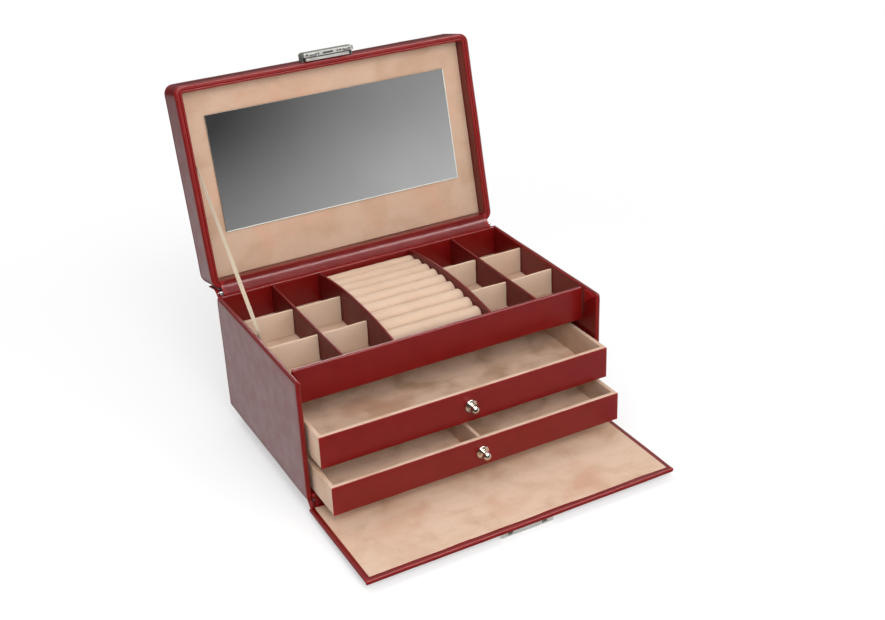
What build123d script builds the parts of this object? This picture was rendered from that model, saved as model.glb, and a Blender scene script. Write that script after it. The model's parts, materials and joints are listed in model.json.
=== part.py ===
from build123d import *
import math
import os

# A leather jewellery case standing open. X runs across the case, -Y is the front, +Z is up.
# Everything is drawn about the middle of the body, on the floor. All sizes are millimetres.
# The lid, the handle and the front flap are drawn closed and then swung to their open rest pose.
# Last, every piece is moved so that the origin lies under the middle of the whole open case.

# ---------------------------------------------------------------- driving dimensions
width = 300.0
depth = 188.0
body_height = 116.0
foot_height = 17.5
board = 3.0
skin = 0.85
lining = 0.8
front_recess = 20.5
lid_height = 37.0
lid_crown = 5.0
lid_seam = 1.0
lid_open_angle = 102.5
flap_thickness = 3.6
flap_gap = 0.4
drawer_width = 285.0
drawer_length = 156.0
drawer_set_back = 21.5
upper_drawer_open = 21.4
lower_drawer_open = 40.0
centring_y = 4.462

# ---------------------------------------------------------------- derived places
half_width = width / 2
front = -depth / 2
back = depth / 2
floor_of_body = foot_height
top_of_body = floor_of_body + body_height
wall = board + 2 * skin
inner_x = half_width - wall
inner_back = back - wall
board_x = half_width - skin
base_top = floor_of_body + wall
clearance = 0.05


def block(x, y, z):
    """A box between the two ends given for each axis."""
    size = Box(x[1] - x[0], y[1] - y[0], z[1] - z[0])
    return Pos((x[0] + x[1]) / 2, (y[0] + y[1]) / 2, (z[0] + z[1]) / 2) * size


def span(half):
    return (-half, half)


def rod(centre, radius, start, end, along):
    """A round bar with its axis along x, y or z, between two places on that axis."""
    middle = (start + end) / 2
    turn = {"x": Rot(0, 90, 0), "y": Rot(90, 0, 0), "z": Rot(0, 0, 0)}[along]
    place = {
        "x": Pos(middle, centre[0], centre[1]),
        "y": Pos(centre[0], middle, centre[1]),
        "z": Pos(centre[0], centre[1], middle),
    }[along]
    return place * turn * Cylinder(radius, end - start)


def group(solids):
    """Separate solids that are kept together as one node."""
    return Compound(children=[solid for shape in solids for solid in shape.solids()])


def mirror_pair(shape):
    return [shape, shape.mirror(Plane.YZ)]


def across(profile, half):
    """Extrudes a closed outline of (y, z) points across the case, from -half to +half."""
    corners = [(-half, y, z) for y, z in profile]
    face = make_face(Polyline(*corners, close=True))
    return extrude(face, amount=2 * half, dir=(1, 0, 0))


def sheet(path, thickness):
    """The outline of a thin sheet whose middle follows a path of (y, z) points."""
    left = []
    right = []
    for index, (y, z) in enumerate(path):
        before = path[max(index - 1, 0)]
        after = path[min(index + 1, len(path) - 1)]
        normals = []
        for start, end in ((before, (y, z)), ((y, z), after)):
            length = math.dist(start, end)
            if length > 0:
                normals.append((-(end[1] - start[1]) / length, (end[0] - start[0]) / length))
        normal_y = sum(n[0] for n in normals) / len(normals)
        normal_z = sum(n[1] for n in normals) / len(normals)
        reach = thickness / 2 / (normal_y**2 + normal_z**2)
        left.append((y + normal_y * reach, z + normal_z * reach))
        right.append((y - normal_y * reach, z - normal_z * reach))
    return left + right[::-1]


# ---------------------------------------------------------------- hinge lines
hinge_wire = 0.8
knuckle_radius = 1.9
leaf_thickness = 0.75
lid_axis_y = back + 3.75
lid_axis_z = top_of_body
flap_axis_y = front + 3.4
flap_axis_z = floor_of_body - 3.6
lid_axis = Axis((0, lid_axis_y, lid_axis_z), (1, 0, 0))
flap_axis = Axis((0, flap_axis_y, flap_axis_z), (1, 0, 0))


def open_lid(shape):
    return shape.rotate(lid_axis, -lid_open_angle)


def open_flap(shape):
    return shape.rotate(flap_axis, 90)


def knuckles(axis_y, axis_z, pieces, which, length):
    """Every second barrel of a piano hinge, bored for its pin."""
    pitch = length / pieces
    gap = 0.3
    barrels = []
    for index in range(which, pieces, 2):
        start = -length / 2 + index * pitch + gap / 2
        barrel = rod((axis_y, axis_z), knuckle_radius, start, start + pitch - gap, "x")
        barrels.append(barrel)
    return barrels


def hinge_bore(axis_y, axis_z, length):
    return rod((axis_y, axis_z), hinge_wire + clearance, -length, length, "x")


# ---------------------------------------------------------------- case body
foot_x = 116.0
foot_y = 56.0
foot_radius = 11.0
foot_places = [(x, y) for x in (-foot_x, foot_x) for y in (-foot_y, foot_y)]
foot_screw_radius = 1.5


def drill_feet(shape):
    for place in foot_places:
        hole = rod(place, foot_screw_radius + clearance, floor_of_body - 5, base_top + 1, "z")
        shape = shape - hole
    return shape


def make_base_board():
    slab = block(span(board_x), (front + skin, back - skin), (floor_of_body + skin, base_top))
    return drill_feet(slab)


def make_side_boards():
    side = block(
        (board_x - board, board_x),
        (front + skin, back - skin),
        (base_top, top_of_body - skin),
    )
    return group(mirror_pair(side))


def make_back_board():
    return block(
        span(board_x - board),
        (back - skin - board, back - skin),
        (base_top, top_of_body - skin),
    )


def make_case_leather():
    """The outer leather jacket: sides, back and bottom, folded over the top and front edges."""
    outside = block(span(half_width), (front, back), (floor_of_body, top_of_body))
    upright = outside.edges().filter_by(Axis.Z).sort_by(Axis.Y)[-2:]
    outside = fillet(upright, 2.0)
    boards = block(
        span(board_x),
        (front + skin, back - skin),
        (floor_of_body + skin, top_of_body - skin),
    )
    room = block(span(inner_x), (front - 1, inner_back), (base_top, top_of_body + 1))
    return drill_feet(outside - boards - room)


def make_case_lining():
    """The red leather on the inside of the sides and the back."""
    outer = block(
        span(board_x - board),
        (front + skin, back - skin - board),
        (base_top, top_of_body - skin),
    )
    room = block(span(inner_x), (front, inner_back), (base_top - 1, top_of_body))
    return outer - room


shelf_front = front + front_recess + 1.5
shelf_z = (floor_of_body + 36.0, floor_of_body + 39.8)
tray_floor_z = (floor_of_body + 82.0, floor_of_body + 85.0)


def make_drawer_shelf():
    return block(span(inner_x), (shelf_front, inner_back), shelf_z)


def make_feet():
    feet = []
    for x, y in foot_places:
        middle = Pos(x, y, foot_height / 2)
        foot = middle * Cone(foot_radius - 1.5, foot_radius, foot_height)
        foot = foot - rod((x, y), foot_screw_radius + clearance, 0, foot_height + 1, "z")
        foot = foot - rod((x, y), 3.3, 0, 6.0, "z")
        feet.append(foot)
    return group(feet)


def make_foot_screws():
    screws = []
    for place in foot_places:
        head = rod(place, 3.0, 4.0, 6.0, "z")
        shank = rod(place, foot_screw_radius, 5.0, base_top - 0.6, "z")
        screws.append(head + shank)
    return group(screws)


# ---------------------------------------------------------------- tray
tray_front_y = (front + front_recess, front + front_recess + 4.0)
tray_lining_z = (tray_floor_z[1], tray_floor_z[1] + 1.2)
divider_thickness = 2.4
straight_divider_x = 96.0
arched_divider_x = 48.5
divider_top = top_of_body - 0.8
arch_rise = 7.5
partition_thickness = 2.2
partition_top = floor_of_body + 112.0
partition_y = (-20.0, 37.0)
roll_count = 9
roll_pitch = 16.2
roll_first_y = -57.2
roll_top_end = floor_of_body + 112.5
roll_top_middle = floor_of_body + 117.5


def make_tray_shelf():
    return block(span(inner_x), (tray_front_y[1], inner_back), tray_floor_z)


def make_tray_front():
    panel = block(span(inner_x - 1.4), tray_front_y, (tray_floor_z[0], top_of_body - 0.4))
    return fillet(panel.edges().filter_by(Axis.X).group_by(Axis.Z)[-1], 1.4)


def make_tray_lining():
    return block(span(inner_x), (tray_front_y[1], inner_back), tray_lining_z)


def make_straight_dividers():
    half = divider_thickness / 2
    divider = block(
        (straight_divider_x - half, straight_divider_x + half),
        (tray_front_y[1], inner_back),
        (tray_lining_z[1], divider_top),
    )
    return group(mirror_pair(divider))


def make_arched_dividers():
    near, far = tray_front_y[1], inner_back
    x = arched_divider_x - divider_thickness / 2
    bottom = tray_lining_z[1]
    outline = [
        Line((x, far, divider_top), (x, far, bottom)),
        Line((x, far, bottom), (x, near, bottom)),
        Line((x, near, bottom), (x, near, divider_top)),
        ThreePointArc(
            (x, near, divider_top),
            (x, (near + far) / 2, divider_top + arch_rise),
            (x, far, divider_top),
        ),
    ]
    face = make_face(outline)
    divider = extrude(face, amount=divider_thickness, dir=(1, 0, 0))
    return group(mirror_pair(divider))


def make_partitions():
    """Two suede-covered uprights in each of the four narrow columns."""
    half = divider_thickness / 2
    gap = 0.3
    outer_column = (straight_divider_x + half + gap, inner_x - gap)
    inner_column = (arched_divider_x + half + gap, straight_divider_x - half - gap)
    panels = []
    for column in (outer_column, inner_column):
        for y in partition_y:
            panel = block(column, (y, y + partition_thickness), (tray_lining_z[1], partition_top))
            panels += mirror_pair(panel)
    return group(panels)


def roll_top(y):
    """The height of the crowned ring cushion at a place from front to back."""
    middle = roll_first_y + roll_count * roll_pitch / 2
    reach = (roll_count - 1) * roll_pitch / 2
    return roll_top_middle - (roll_top_middle - roll_top_end) * ((y - middle) / reach) ** 2


def make_ring_rolls():
    half_length = arched_divider_x - divider_thickness / 2 - 0.3
    radius = roll_pitch / 2 - 0.05
    rolls = []
    for index in range(roll_count):
        y = roll_first_y + (index + 0.5) * roll_pitch
        centre_z = roll_top(y) - radius
        body = block(span(half_length), (y - radius, y + radius), (tray_lining_z[1], centre_z))
        rolls.append(body + rod((y, centre_z), radius, -half_length, half_length, "x"))
    return group(rolls)


# ---------------------------------------------------------------- drawers
drawer_wall = 4.0
drawer_floor = 3.0
facing = 1.0
upper_drawer_z = (floor_of_body + 41.6, floor_of_body + 72.2)
lower_drawer_z = (floor_of_body + 6.0, floor_of_body + 33.6)
knob_flange_radius = 6.0
knob_ball_radius = 3.9
knob_reach = 11.3
knob_screw_radius = 1.2
runner_x = (112.0, 132.0)
guide_thickness = 2.3


def drawer_front_y(opened):
    return front - opened


def knob_hole(z, start, end):
    middle = (z[0] + z[1]) / 2
    return rod((0, middle), knob_screw_radius + clearance, start, end, "y")


def make_drawer_front(z, opened):
    y = drawer_front_y(opened)
    panel = block(span(drawer_width / 2), (y, y + facing), z)
    return panel - knob_hole(z, y - 1, y + facing + 1)


def make_drawer_box(z, opened):
    """A floor and four walls, each a separate suede-covered board."""
    y0 = drawer_front_y(opened) + facing
    y1 = drawer_front_y(opened) + drawer_length
    half = drawer_width / 2
    walls_z = (z[0] + drawer_floor, z[1])
    front_wall = block(span(half), (y0, y0 + drawer_wall), walls_z)
    front_wall = front_wall - knob_hole(z, y0 - 1, y0 + drawer_wall + 1)
    side = block((half - drawer_wall, half), (y0 + drawer_wall, y1 - drawer_wall), walls_z)
    boards = [
        block(span(half), (y0, y1), (z[0], z[0] + drawer_floor)),
        front_wall,
        block(span(half), (y1 - drawer_wall, y1), walls_z),
    ]
    return group(boards + mirror_pair(side))


def drawer_room(opened):
    """The inside of a drawer box, as its half width and its front and back."""
    y0 = drawer_front_y(opened) + facing + drawer_wall
    y1 = drawer_front_y(opened) + drawer_length - drawer_wall
    return drawer_width / 2 - drawer_wall, y0, y1


def make_drawer_lining(z, opened):
    half, y0, y1 = drawer_room(opened)
    bottom = z[0] + drawer_floor
    return block(span(half), (y0, y1), (bottom, bottom + lining))


def make_drawer_divider(z, opened):
    half, y0, y1 = drawer_room(opened)
    bottom = z[0] + drawer_floor + lining
    screw_room = 3.0
    divider = block(span(1.75), (y0, y1), (bottom, z[1] - 0.5))
    middle = (z[0] + z[1]) / 2
    return divider - rod((0, middle), screw_room, y0 - 1, y0 + 2.2, "y")


def make_knob(z, opened):
    """A turned knob: flange, waist and ball on one axis, bored for its screw."""
    y = drawer_front_y(opened)
    middle = (z[0] + z[1]) / 2
    flange = rod((0, middle), knob_flange_radius, y - 1.4, y, "y")
    collar = rod((0, middle), 3.4, y - 2.6, y - 1.4, "y")
    neck = rod((0, middle), 2.2, y - knob_reach + knob_ball_radius, y - 2.0, "y")
    ball = Pos(0, y - knob_reach + knob_ball_radius, middle) * Sphere(knob_ball_radius)
    bore = rod((0, middle), knob_screw_radius + clearance, y - 6.0, y + 1, "y")
    return flange + collar + neck + ball - bore


def make_knob_screw(z, opened):
    y = drawer_front_y(opened)
    middle = (z[0] + z[1]) / 2
    inside = y + facing + drawer_wall
    head = rod((0, middle), 2.6, inside, inside + 1.5, "y")
    return head + rod((0, middle), knob_screw_radius, y - 5.5, inside + 0.5, "y")


def drawer_levels():
    return ((lower_drawer_z, base_top), (upper_drawer_z, shelf_z[1]))


def make_drawer_runners():
    """Strips under each drawer's floor, and strips at its sides that keep it square."""
    strips = []
    strip_y = (shelf_front + 2.0, inner_back - 8.0)
    for z, support in drawer_levels():
        under = block(runner_x, strip_y, (support, z[0] - 0.1))
        beside = block((inner_x - guide_thickness, inner_x), strip_y, (z[0] + 4.0, z[0] + 14.0))
        strips += mirror_pair(under) + mirror_pair(beside)
    return group(strips)


# ---------------------------------------------------------------- hinge between body and lid
lid_hinge_length = 290.0
lid_hinge_pieces = 7
lid_leaf_reach = 20.0
leaf_y = (back + clearance, back + clearance + leaf_thickness)


def make_lid_hinge_leaf(lid_side):
    """One leaf of the lid's piano hinge, drawn with the lid closed."""
    sign = 1 if lid_side else -1
    half = lid_hinge_length / 2
    near = lid_axis_z + sign * 0.3
    web_end = lid_axis_z + sign * (0.3 + leaf_thickness)
    far = lid_axis_z + sign * lid_leaf_reach
    plate_start = lid_axis_z + sign * 2.1
    plate = block(span(half), leaf_y, tuple(sorted((plate_start, far))))
    shape = plate
    which = 1 if lid_side else 0
    pitch = lid_hinge_length / lid_hinge_pieces
    barrels = knuckles(lid_axis_y, lid_axis_z, lid_hinge_pieces, which, lid_hinge_length)
    for step, barrel in enumerate(barrels):
        start = -half + (which + 2 * step) * pitch + 0.15
        ends = (start, start + pitch - 0.3)
        tab = block(ends, leaf_y, tuple(sorted((near, plate_start))))
        web = block(ends, (leaf_y[0], lid_axis_y - 1.2), tuple(sorted((near, web_end))))
        shape = shape + barrel + tab + web
    return shape - hinge_bore(lid_axis_y, lid_axis_z, half + 1)


def swung(point):
    """A closed-lid (y, z) place, swung with the lid to the open pose."""
    angle = math.radians(-lid_open_angle)
    dy = point[0] - lid_axis_y
    dz = point[1] - lid_axis_z
    return (
        lid_axis_y + dy * math.cos(angle) - dz * math.sin(angle),
        lid_axis_z + dy * math.sin(angle) + dz * math.cos(angle),
    )


def make_outer_hinge_strip():
    """The leather that covers the hinge behind the case, from the body to the open lid."""
    face_y = leaf_y[1] + 0.5
    path = [
        (face_y, lid_axis_z - 26.0),
        (face_y, lid_axis_z - 7.0),
        swung((face_y, lid_axis_z + 7.0)),
        swung((face_y, lid_axis_z + 26.0)),
    ]
    return across(sheet(path, skin), half_width - 3.0)


def make_inner_hinge_strip():
    """The leather strip inside the opening, from the back wall's rim to the lid's rim."""
    lift = 0.5
    rim_z = lid_axis_z + lift
    mouth_z = top_of_body + lid_seam - lift
    path = [
        (inner_back + 0.2, rim_z),
        (back - 2.0, rim_z),
        swung((back - 1.5, mouth_z)),
        swung((inner_back - 2.2, mouth_z)),
    ]
    return across(sheet(path, skin), inner_x - 3.0)


# ---------------------------------------------------------------- lid, drawn closed
lid_front = front - 1.0
mouth_z = top_of_body + lid_seam
lid_edge_z = mouth_z + lid_height
lid_top_board_z = (lid_edge_z - 4.0, lid_edge_z - 1.0)
rim_width = 7.05
inner_frame_x = half_width - rim_width
inner_frame_y = (lid_front + rim_width, back - rim_width)
lid_lining_z = (top_of_body + 14.25, top_of_body + 16.45)
crown_inset = 30.0
mirror_thickness = 2.0
mirror_half_width = 123.5
mirror_y = (front + 30.3, front + 140.0)
post_x = 68.0
post_y = 0.0
post_places = [(-post_x, post_y), (post_x, post_y)]
post_shaft_radius = 2.2
handle_screw_radius = 1.25
hasp_screw_places = [(-10.0, lid_axis_z + 5.5), (10.0, lid_axis_z + 5.5)]
hasp_screw_radius = 1.1


def frustum(x_half, y, z0, rise, inset):
    """A shallow pillow block: full size at z0, drawn in by the inset at its top."""
    middle_y = (y[0] + y[1]) / 2
    length_y = y[1] - y[0]
    lower = Pos(0, middle_y, z0) * Rectangle(2 * x_half, length_y)
    upper = Pos(0, middle_y, z0 + rise) * Rectangle(2 * x_half - 2 * inset, length_y - 2 * inset)
    return loft([lower, upper])


def drill_hasp(shape):
    for place in hasp_screw_places:
        hole = rod(place, hasp_screw_radius + clearance, lid_front - 1, lid_front + rim_width, "y")
        shape = shape - hole
    return shape


def make_lid_walls():
    z = (mouth_z + skin, lid_top_board_z[0])
    outer_y = (lid_front + skin, back - skin)
    sides = block((board_x - board, board_x), outer_y, z)
    front_wall = block(span(board_x - board), (outer_y[0], outer_y[0] + board), z)
    back_wall = block(span(board_x - board), (outer_y[1] - board, outer_y[1]), z)
    return group(mirror_pair(sides) + [drill_hasp(front_wall), back_wall])


def make_lid_top_board():
    slab = block(span(board_x), (lid_front + skin, back - skin), lid_top_board_z)
    for place in post_places:
        hole = rod(place, handle_screw_radius + clearance, *lid_top_board_z, "z")
        slab = slab - hole
    return slab


def lid_pad_block():
    y = (lid_front + skin, back - skin)
    return frustum(board_x, y, lid_top_board_z[1], lid_crown + 0.1, crown_inset)


def drill_posts(shape):
    for place in post_places:
        hole = rod(place, post_shaft_radius + clearance, lid_top_board_z[1] - 1, lid_edge_z + 9, "z")
        shape = shape - hole
    return shape


def make_lid_padding():
    return drill_posts(lid_pad_block())


def make_lid_leather():
    """The outer leather: four sides, the padded top and the edge folded round the mouth."""
    y = (lid_front, back)
    shell = block(span(half_width), y, (mouth_z, lid_edge_z))
    shell = shell + frustum(half_width, y, lid_edge_z, lid_crown, crown_inset)
    boards = block(
        span(board_x),
        (lid_front + skin, back - skin),
        (mouth_z + skin, lid_top_board_z[1]),
    )
    mouth = block(span(inner_frame_x), inner_frame_y, (mouth_z - 1, mouth_z + 2))
    shell = shell - boards - mouth - lid_pad_block()
    return drill_hasp(drill_posts(shell))


def make_lid_inner_frame():
    """Red leather-covered strips that line the lid's walls."""
    z = (mouth_z + skin, lid_top_board_z[0])
    outer = board_x - board
    outer_y = (lid_front + skin + board, back - skin - board)
    sides = block((inner_frame_x, outer), outer_y, z)
    front_strip = block(span(inner_frame_x), (outer_y[0], inner_frame_y[0]), z)
    for place in hasp_screw_places:
        front_strip = front_strip - rod(place, 2.4, outer_y[0] - 1, outer_y[0] + 1.6, "y")
    back_strip = block(span(inner_frame_x), (inner_frame_y[1], outer_y[1]), z)
    return group(mirror_pair(sides) + [front_strip, back_strip])


def make_lid_lining():
    y = (inner_frame_y[0] + clearance, inner_frame_y[1] - clearance)
    return block(span(inner_frame_x - clearance), y, lid_lining_z)


def make_lid_mirror():
    pane = block(
        span(mirror_half_width),
        mirror_y,
        (lid_lining_z[0] - mirror_thickness, lid_lining_z[0]),
    )
    return chamfer(pane.edges().group_by(Axis.Z)[0], 0.6)


# ---------------------------------------------------------------- handle, drawn with the lid closed
crown_z = lid_edge_z + lid_crown
post_head_z = (crown_z + 7.0, crown_z + 9.4)
strap_tab_z = (crown_z + 4.3, crown_z + 6.8)
strap_width = 23.0
arch_height = 38.0


def make_handle_posts():
    posts = []
    for place in post_places:
        sleeve = rod(place, 3.5, crown_z + clearance, strap_tab_z[0] - 0.1, "z")
        shaft = rod(place, post_shaft_radius, lid_top_board_z[1], post_head_z[0] + 0.5, "z")
        head = rod(place, 4.7, *post_head_z, "z")
        bore = rod(place, handle_screw_radius + clearance, lid_top_board_z[1] - 1, crown_z + 2, "z")
        posts.append(sleeve + shaft + head - bore)
    return group(posts)


def make_handle_screws():
    screws = []
    underside = lid_top_board_z[0]
    for place in post_places:
        washer_face = rod(place, 5.0, underside - 0.8, underside, "z")
        head = rod(place, 3.0, underside - 2.6, underside - 0.8, "z")
        shank = rod(place, handle_screw_radius, underside - 1.0, crown_z + 1.5, "z")
        screws.append(washer_face + head + shank)
    return group(screws)


def make_handle_strap():
    """An arched strap: thin tabs on the posts and a thicker padded middle."""
    half = strap_width / 2
    tab_end = post_x + 7.5
    foot = post_x - 7.5
    low, high = strap_tab_z
    top = crown_z + arch_height
    outline = [
        Line((-tab_end, -half, high), (-tab_end, -half, low)),
        Line((-tab_end, -half, low), (-foot, -half, low)),
        ThreePointArc((-foot, -half, low), (0, -half, top - 7.0), (foot, -half, low)),
        Line((foot, -half, low), (tab_end, -half, low)),
        Line((tab_end, -half, low), (tab_end, -half, high)),
        Line((tab_end, -half, high), (foot + 2.0, -half, high)),
        ThreePointArc((foot + 2.0, -half, high), (0, -half, top), (-foot - 2.0, -half, high)),
        Line((-foot - 2.0, -half, high), (-tab_end, -half, high)),
    ]
    strap = extrude(make_face(outline), amount=strap_width, dir=(0, 1, 0))
    for place in post_places:
        strap = strap - rod(place, post_shaft_radius + 0.3, low - 1, high + 1, "z")
    return strap


# ---------------------------------------------------------------- flap, drawn closed
flap_inner_y = front - flap_gap
flap_outer_y = flap_inner_y - flap_thickness
flap_z = (floor_of_body + 0.5, top_of_body - 0.8)
flap_board_y = (flap_outer_y + 0.9, flap_inner_y - 0.7)
flap_border = 4.8
roll_radius = 2.2
flap_hinge_length = 284.0
flap_hinge_pieces = 7
flap_leaf_y = (flap_board_y[1] - leaf_thickness, flap_board_y[1])


def lock_screw_holes(start, end):
    radius = lock_screw_radius + clearance
    return Part() + [rod(place, radius, start, end, "y") for place in lock_screw_places]


def make_flap_board():
    board_z = (flap_z[0] + 0.9, flap_z[1] - 0.9)
    slab = block(span(board_x), flap_board_y, board_z) - flap_leaf_room()
    slab = slab - lock_screw_holes(flap_outer_y, flap_inner_y)
    for place in lock_screw_places:
        slab = slab - rod(place, 2.1, flap_board_y[1] - 1.2, flap_board_y[1] + 1, "y")
    return slab


def make_flap_leather():
    """The outer leather with its turned border and the rolled top edge."""
    jacket = block(span(half_width), (flap_outer_y, flap_inner_y), flap_z)
    roll_y = flap_inner_y - roll_radius
    roll = rod((roll_y, flap_z[1] - roll_radius), roll_radius, -half_width, half_width, "x")
    board_room = block(
        span(board_x),
        flap_board_y,
        (flap_z[0] + 0.9, flap_z[1] - 0.9),
    )
    window = block(
        span(half_width - flap_border),
        (flap_board_y[1] - 0.1, flap_inner_y + 1),
        (flap_z[0] + 1.6, flap_z[1] - flap_border),
    )
    jacket = jacket + roll - board_room - window - flap_leaf_room()
    return jacket - lock_screw_holes(flap_outer_y - 1, flap_inner_y)


def make_flap_lining():
    return block(
        span(half_width - flap_border - clearance),
        (flap_board_y[1], flap_inner_y),
        (flap_z[0] + 1.6 + clearance, flap_z[1] - flap_border - clearance),
    )


def flap_leaf_room():
    """The slot that the flap's hinge leaf fills in the board and the leather's lower edge."""
    return block(span(flap_hinge_length / 2 + 0.2), flap_leaf_y, (flap_z[0] - 1, flap_z[0] + 14.2))


def make_flap_hinge_flap_leaf():
    half = flap_hinge_length / 2
    plate = block(span(half), flap_leaf_y, (flap_z[0] + 0.3, flap_z[0] + 14.0))
    shape = plate
    pitch = flap_hinge_length / flap_hinge_pieces
    barrels = knuckles(flap_axis_y, flap_axis_z, flap_hinge_pieces, 1, flap_hinge_length)
    for step, barrel in enumerate(barrels):
        start = -half + (1 + 2 * step) * pitch + 0.15
        ends = (start, start + pitch - 0.3)
        web_z = (flap_axis_z - leaf_thickness / 2, flap_axis_z + leaf_thickness / 2)
        web = block(ends, (flap_leaf_y[0], flap_axis_y - 1.2), web_z)
        riser = block(ends, flap_leaf_y, (web_z[0], flap_z[0] + 0.5))
        shape = shape + barrel + web + riser
    return shape - hinge_bore(flap_axis_y, flap_axis_z, half + 1)


def make_flap_hinge_case_leaf():
    half = flap_hinge_length / 2
    top = floor_of_body - clearance
    plate_z = (top - leaf_thickness, top)
    shape = block(span(half), (flap_axis_y + 2.2, flap_axis_y + 18.0), plate_z)
    pitch = flap_hinge_length / flap_hinge_pieces
    barrels = knuckles(flap_axis_y, flap_axis_z, flap_hinge_pieces, 0, flap_hinge_length)
    for step, barrel in enumerate(barrels):
        start = -half + 2 * step * pitch + 0.15
        ends = (start, start + pitch - 0.3)
        bridge = block(ends, (flap_axis_y - 0.4, flap_axis_y + 2.4), plate_z)
        web = block(ends, (flap_axis_y - 0.4, flap_axis_y + 0.4), (flap_axis_z + 1.4, top - 0.2))
        shape = shape + barrel + bridge + web
    return shape - hinge_bore(flap_axis_y, flap_axis_z, half + 1)


def make_hinge_pins():
    """The wires of the lid's hinge and of the flap's hinge."""
    lid_half = lid_hinge_length / 2 + 1.5
    flap_half = flap_hinge_length / 2 + 1.5
    lid_pin = rod((lid_axis_y, lid_axis_z), hinge_wire, -lid_half, lid_half, "x")
    flap_pin = rod((flap_axis_y, flap_axis_z), hinge_wire, -flap_half, flap_half, "x")
    return group([lid_pin, flap_pin])


def make_flap_hinge_strip():
    """The leather strip under the open flap's hinge, from the flap's outer face to the base."""
    lowered = flap_axis_z + (flap_outer_y - flap_axis_y) - 0.5
    under_base = floor_of_body - leaf_thickness - 0.6
    path = [
        (front - 14.0, lowered),
        (flap_axis_y - 1.0, lowered),
        (flap_axis_y + 7.5, under_base),
        (flap_axis_y + 21.0, under_base),
    ]
    return across(sheet(path, skin), half_width - 3.0)


# ---------------------------------------------------------------- lock, drawn with the flap closed
lock_half_width = 25.5
lock_z = (floor_of_body + 88.0, floor_of_body + 112.8)
lock_base_y = (flap_outer_y - 1.0, flap_outer_y)
lock_case_y = (lock_base_y[0] - 5.0, lock_base_y[0])
lock_wall = 0.9
lock_screw_radius = 1.0
lock_screw_places = [(x, z) for x in (-19.0, 19.0) for z in (lock_z[0] + 4.0, lock_z[0] + 14.0)]
cylinder_radius = 4.2
cylinder_z = lock_z[0] + 9.8
hook_x = (14.75, 18.75)
hook_y = (lock_case_y[0] + 2.2, lock_case_y[0] + 3.8)
hook_tip_z = lock_z[1] - 6.8
notch_z = (hook_tip_z + 1.5, hook_tip_z + 3.7)
button_z = (lock_z[0] + 3.0, lock_z[0] + 17.6)
button_y = (lock_case_y[0] + 1.4, lock_case_y[0] + 4.2)
button_reach = 5.0
bar_y = (lock_case_y[1] - 1.1, lock_case_y[1] - 0.2)
bar_end_x = 12.5
spring_radius = 1.2
spring_wire = 0.28
stop_x = 2.0


def make_lock_base_plate():
    top = flap_z[1] - 2 * roll_radius - 0.3
    plate = block(span(lock_half_width), lock_base_y, (lock_z[0], top))
    return plate - lock_screw_holes(lock_base_y[0] - 1, lock_base_y[1] + 1)


def key_ring():
    """A raised C-shaped ring around the key cylinder."""
    face = lock_case_y[0]
    ring = rod((0, cylinder_z), 6.0, face - 0.5, face + 0.3, "y")
    ring = ring - rod((0, cylinder_z), cylinder_radius + 0.3, face - 1, face + 1, "y")
    gap = block(span(1.2), (face - 1, face + 1), (cylinder_z - 8, cylinder_z))
    return ring - gap


def make_lock_case():
    shell = block(span(lock_half_width), lock_case_y, lock_z)
    shell = chamfer(shell.edges().group_by(Axis.Y)[0], 0.8)
    room = block(
        span(lock_half_width - lock_wall),
        (lock_case_y[0] + lock_wall, lock_case_y[1] + 1),
        (lock_z[0] + lock_wall, lock_z[1] - lock_wall),
    )
    stop = block(
        span(stop_x),
        (lock_case_y[0] + 0.5, lock_case_y[1] - 0.3),
        (cylinder_z + 5.6, lock_z[1] - 0.5),
    )
    shell = shell - room + stop
    slot_middle = (hook_x[0] + hook_x[1]) / 2
    slot = block(
        (slot_middle - 2.5, slot_middle + 2.5),
        (hook_y[0] - 0.4, hook_y[1] + 0.4),
        (lock_z[1] - 2, lock_z[1] + 1),
    )
    window = block(
        (lock_half_width - 2, lock_half_width + 1),
        (button_y[0] - 0.15, button_y[1] + 0.15),
        (button_z[0] - 0.15, button_z[1] + 0.15),
    )
    for cut in mirror_pair(slot) + mirror_pair(window):
        shell = shell - cut
    hole_radius = cylinder_radius + clearance
    key_hole = rod((0, cylinder_z), hole_radius, lock_case_y[0] - 1, lock_case_y[1], "y")
    return shell + key_ring() - key_hole


def make_lock_screws():
    screws = []
    for place in lock_screw_places:
        head = rod(place, 2.0, flap_board_y[1] - 1.2, flap_board_y[1] - 0.1, "y")
        shank = rod(place, lock_screw_radius, lock_base_y[0], flap_board_y[1] - 0.6, "y")
        screws.append(head + shank)
    return group(screws)


def make_key_cylinder():
    face = lock_case_y[0]
    barrel = rod((0, cylinder_z), cylinder_radius, face - 0.3, face + 1.6, "y")
    spindle = rod((0, cylinder_z), 2.0, face + 1.0, lock_case_y[1] - 0.4, "y")
    cam = block(span(1.5), (face + 2.0, face + 3.2), (cylinder_z - 5.2, cylinder_z + 5.2))
    slot = block(span(0.6), (face - 1.3, face + 1.1), (cylinder_z - 2.6, cylinder_z + 2.6))
    return barrel + spindle + cam - slot


def make_right_button():
    """A push button with the latch bar and the nose that holds the hasp's hook."""
    inner_end = lock_half_width - 3.5
    button = block((inner_end, lock_half_width + button_reach), button_y, button_z)
    button = fillet(button.edges().group_by(Axis.X)[-1], 0.8)
    bar = block((bar_end_x, inner_end + 1.5), bar_y, (button_z[1] - 3.0, notch_z[1]))
    nose_z = (notch_z[0] + 0.3, notch_z[1] - 0.3)
    nose_x = (bar_end_x, hook_x[0] + 1.15)
    nose = block(nose_x, (hook_y[0] + 0.2, bar_y[0] + 0.2), nose_z)
    tab = block(
        (bar_end_x, bar_end_x + 0.9),
        (hook_y[0] + 0.2, bar_y[0] + 0.2),
        (button_z[1] - 3.0, notch_z[1]),
    )
    return button + bar + nose + tab


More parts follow.
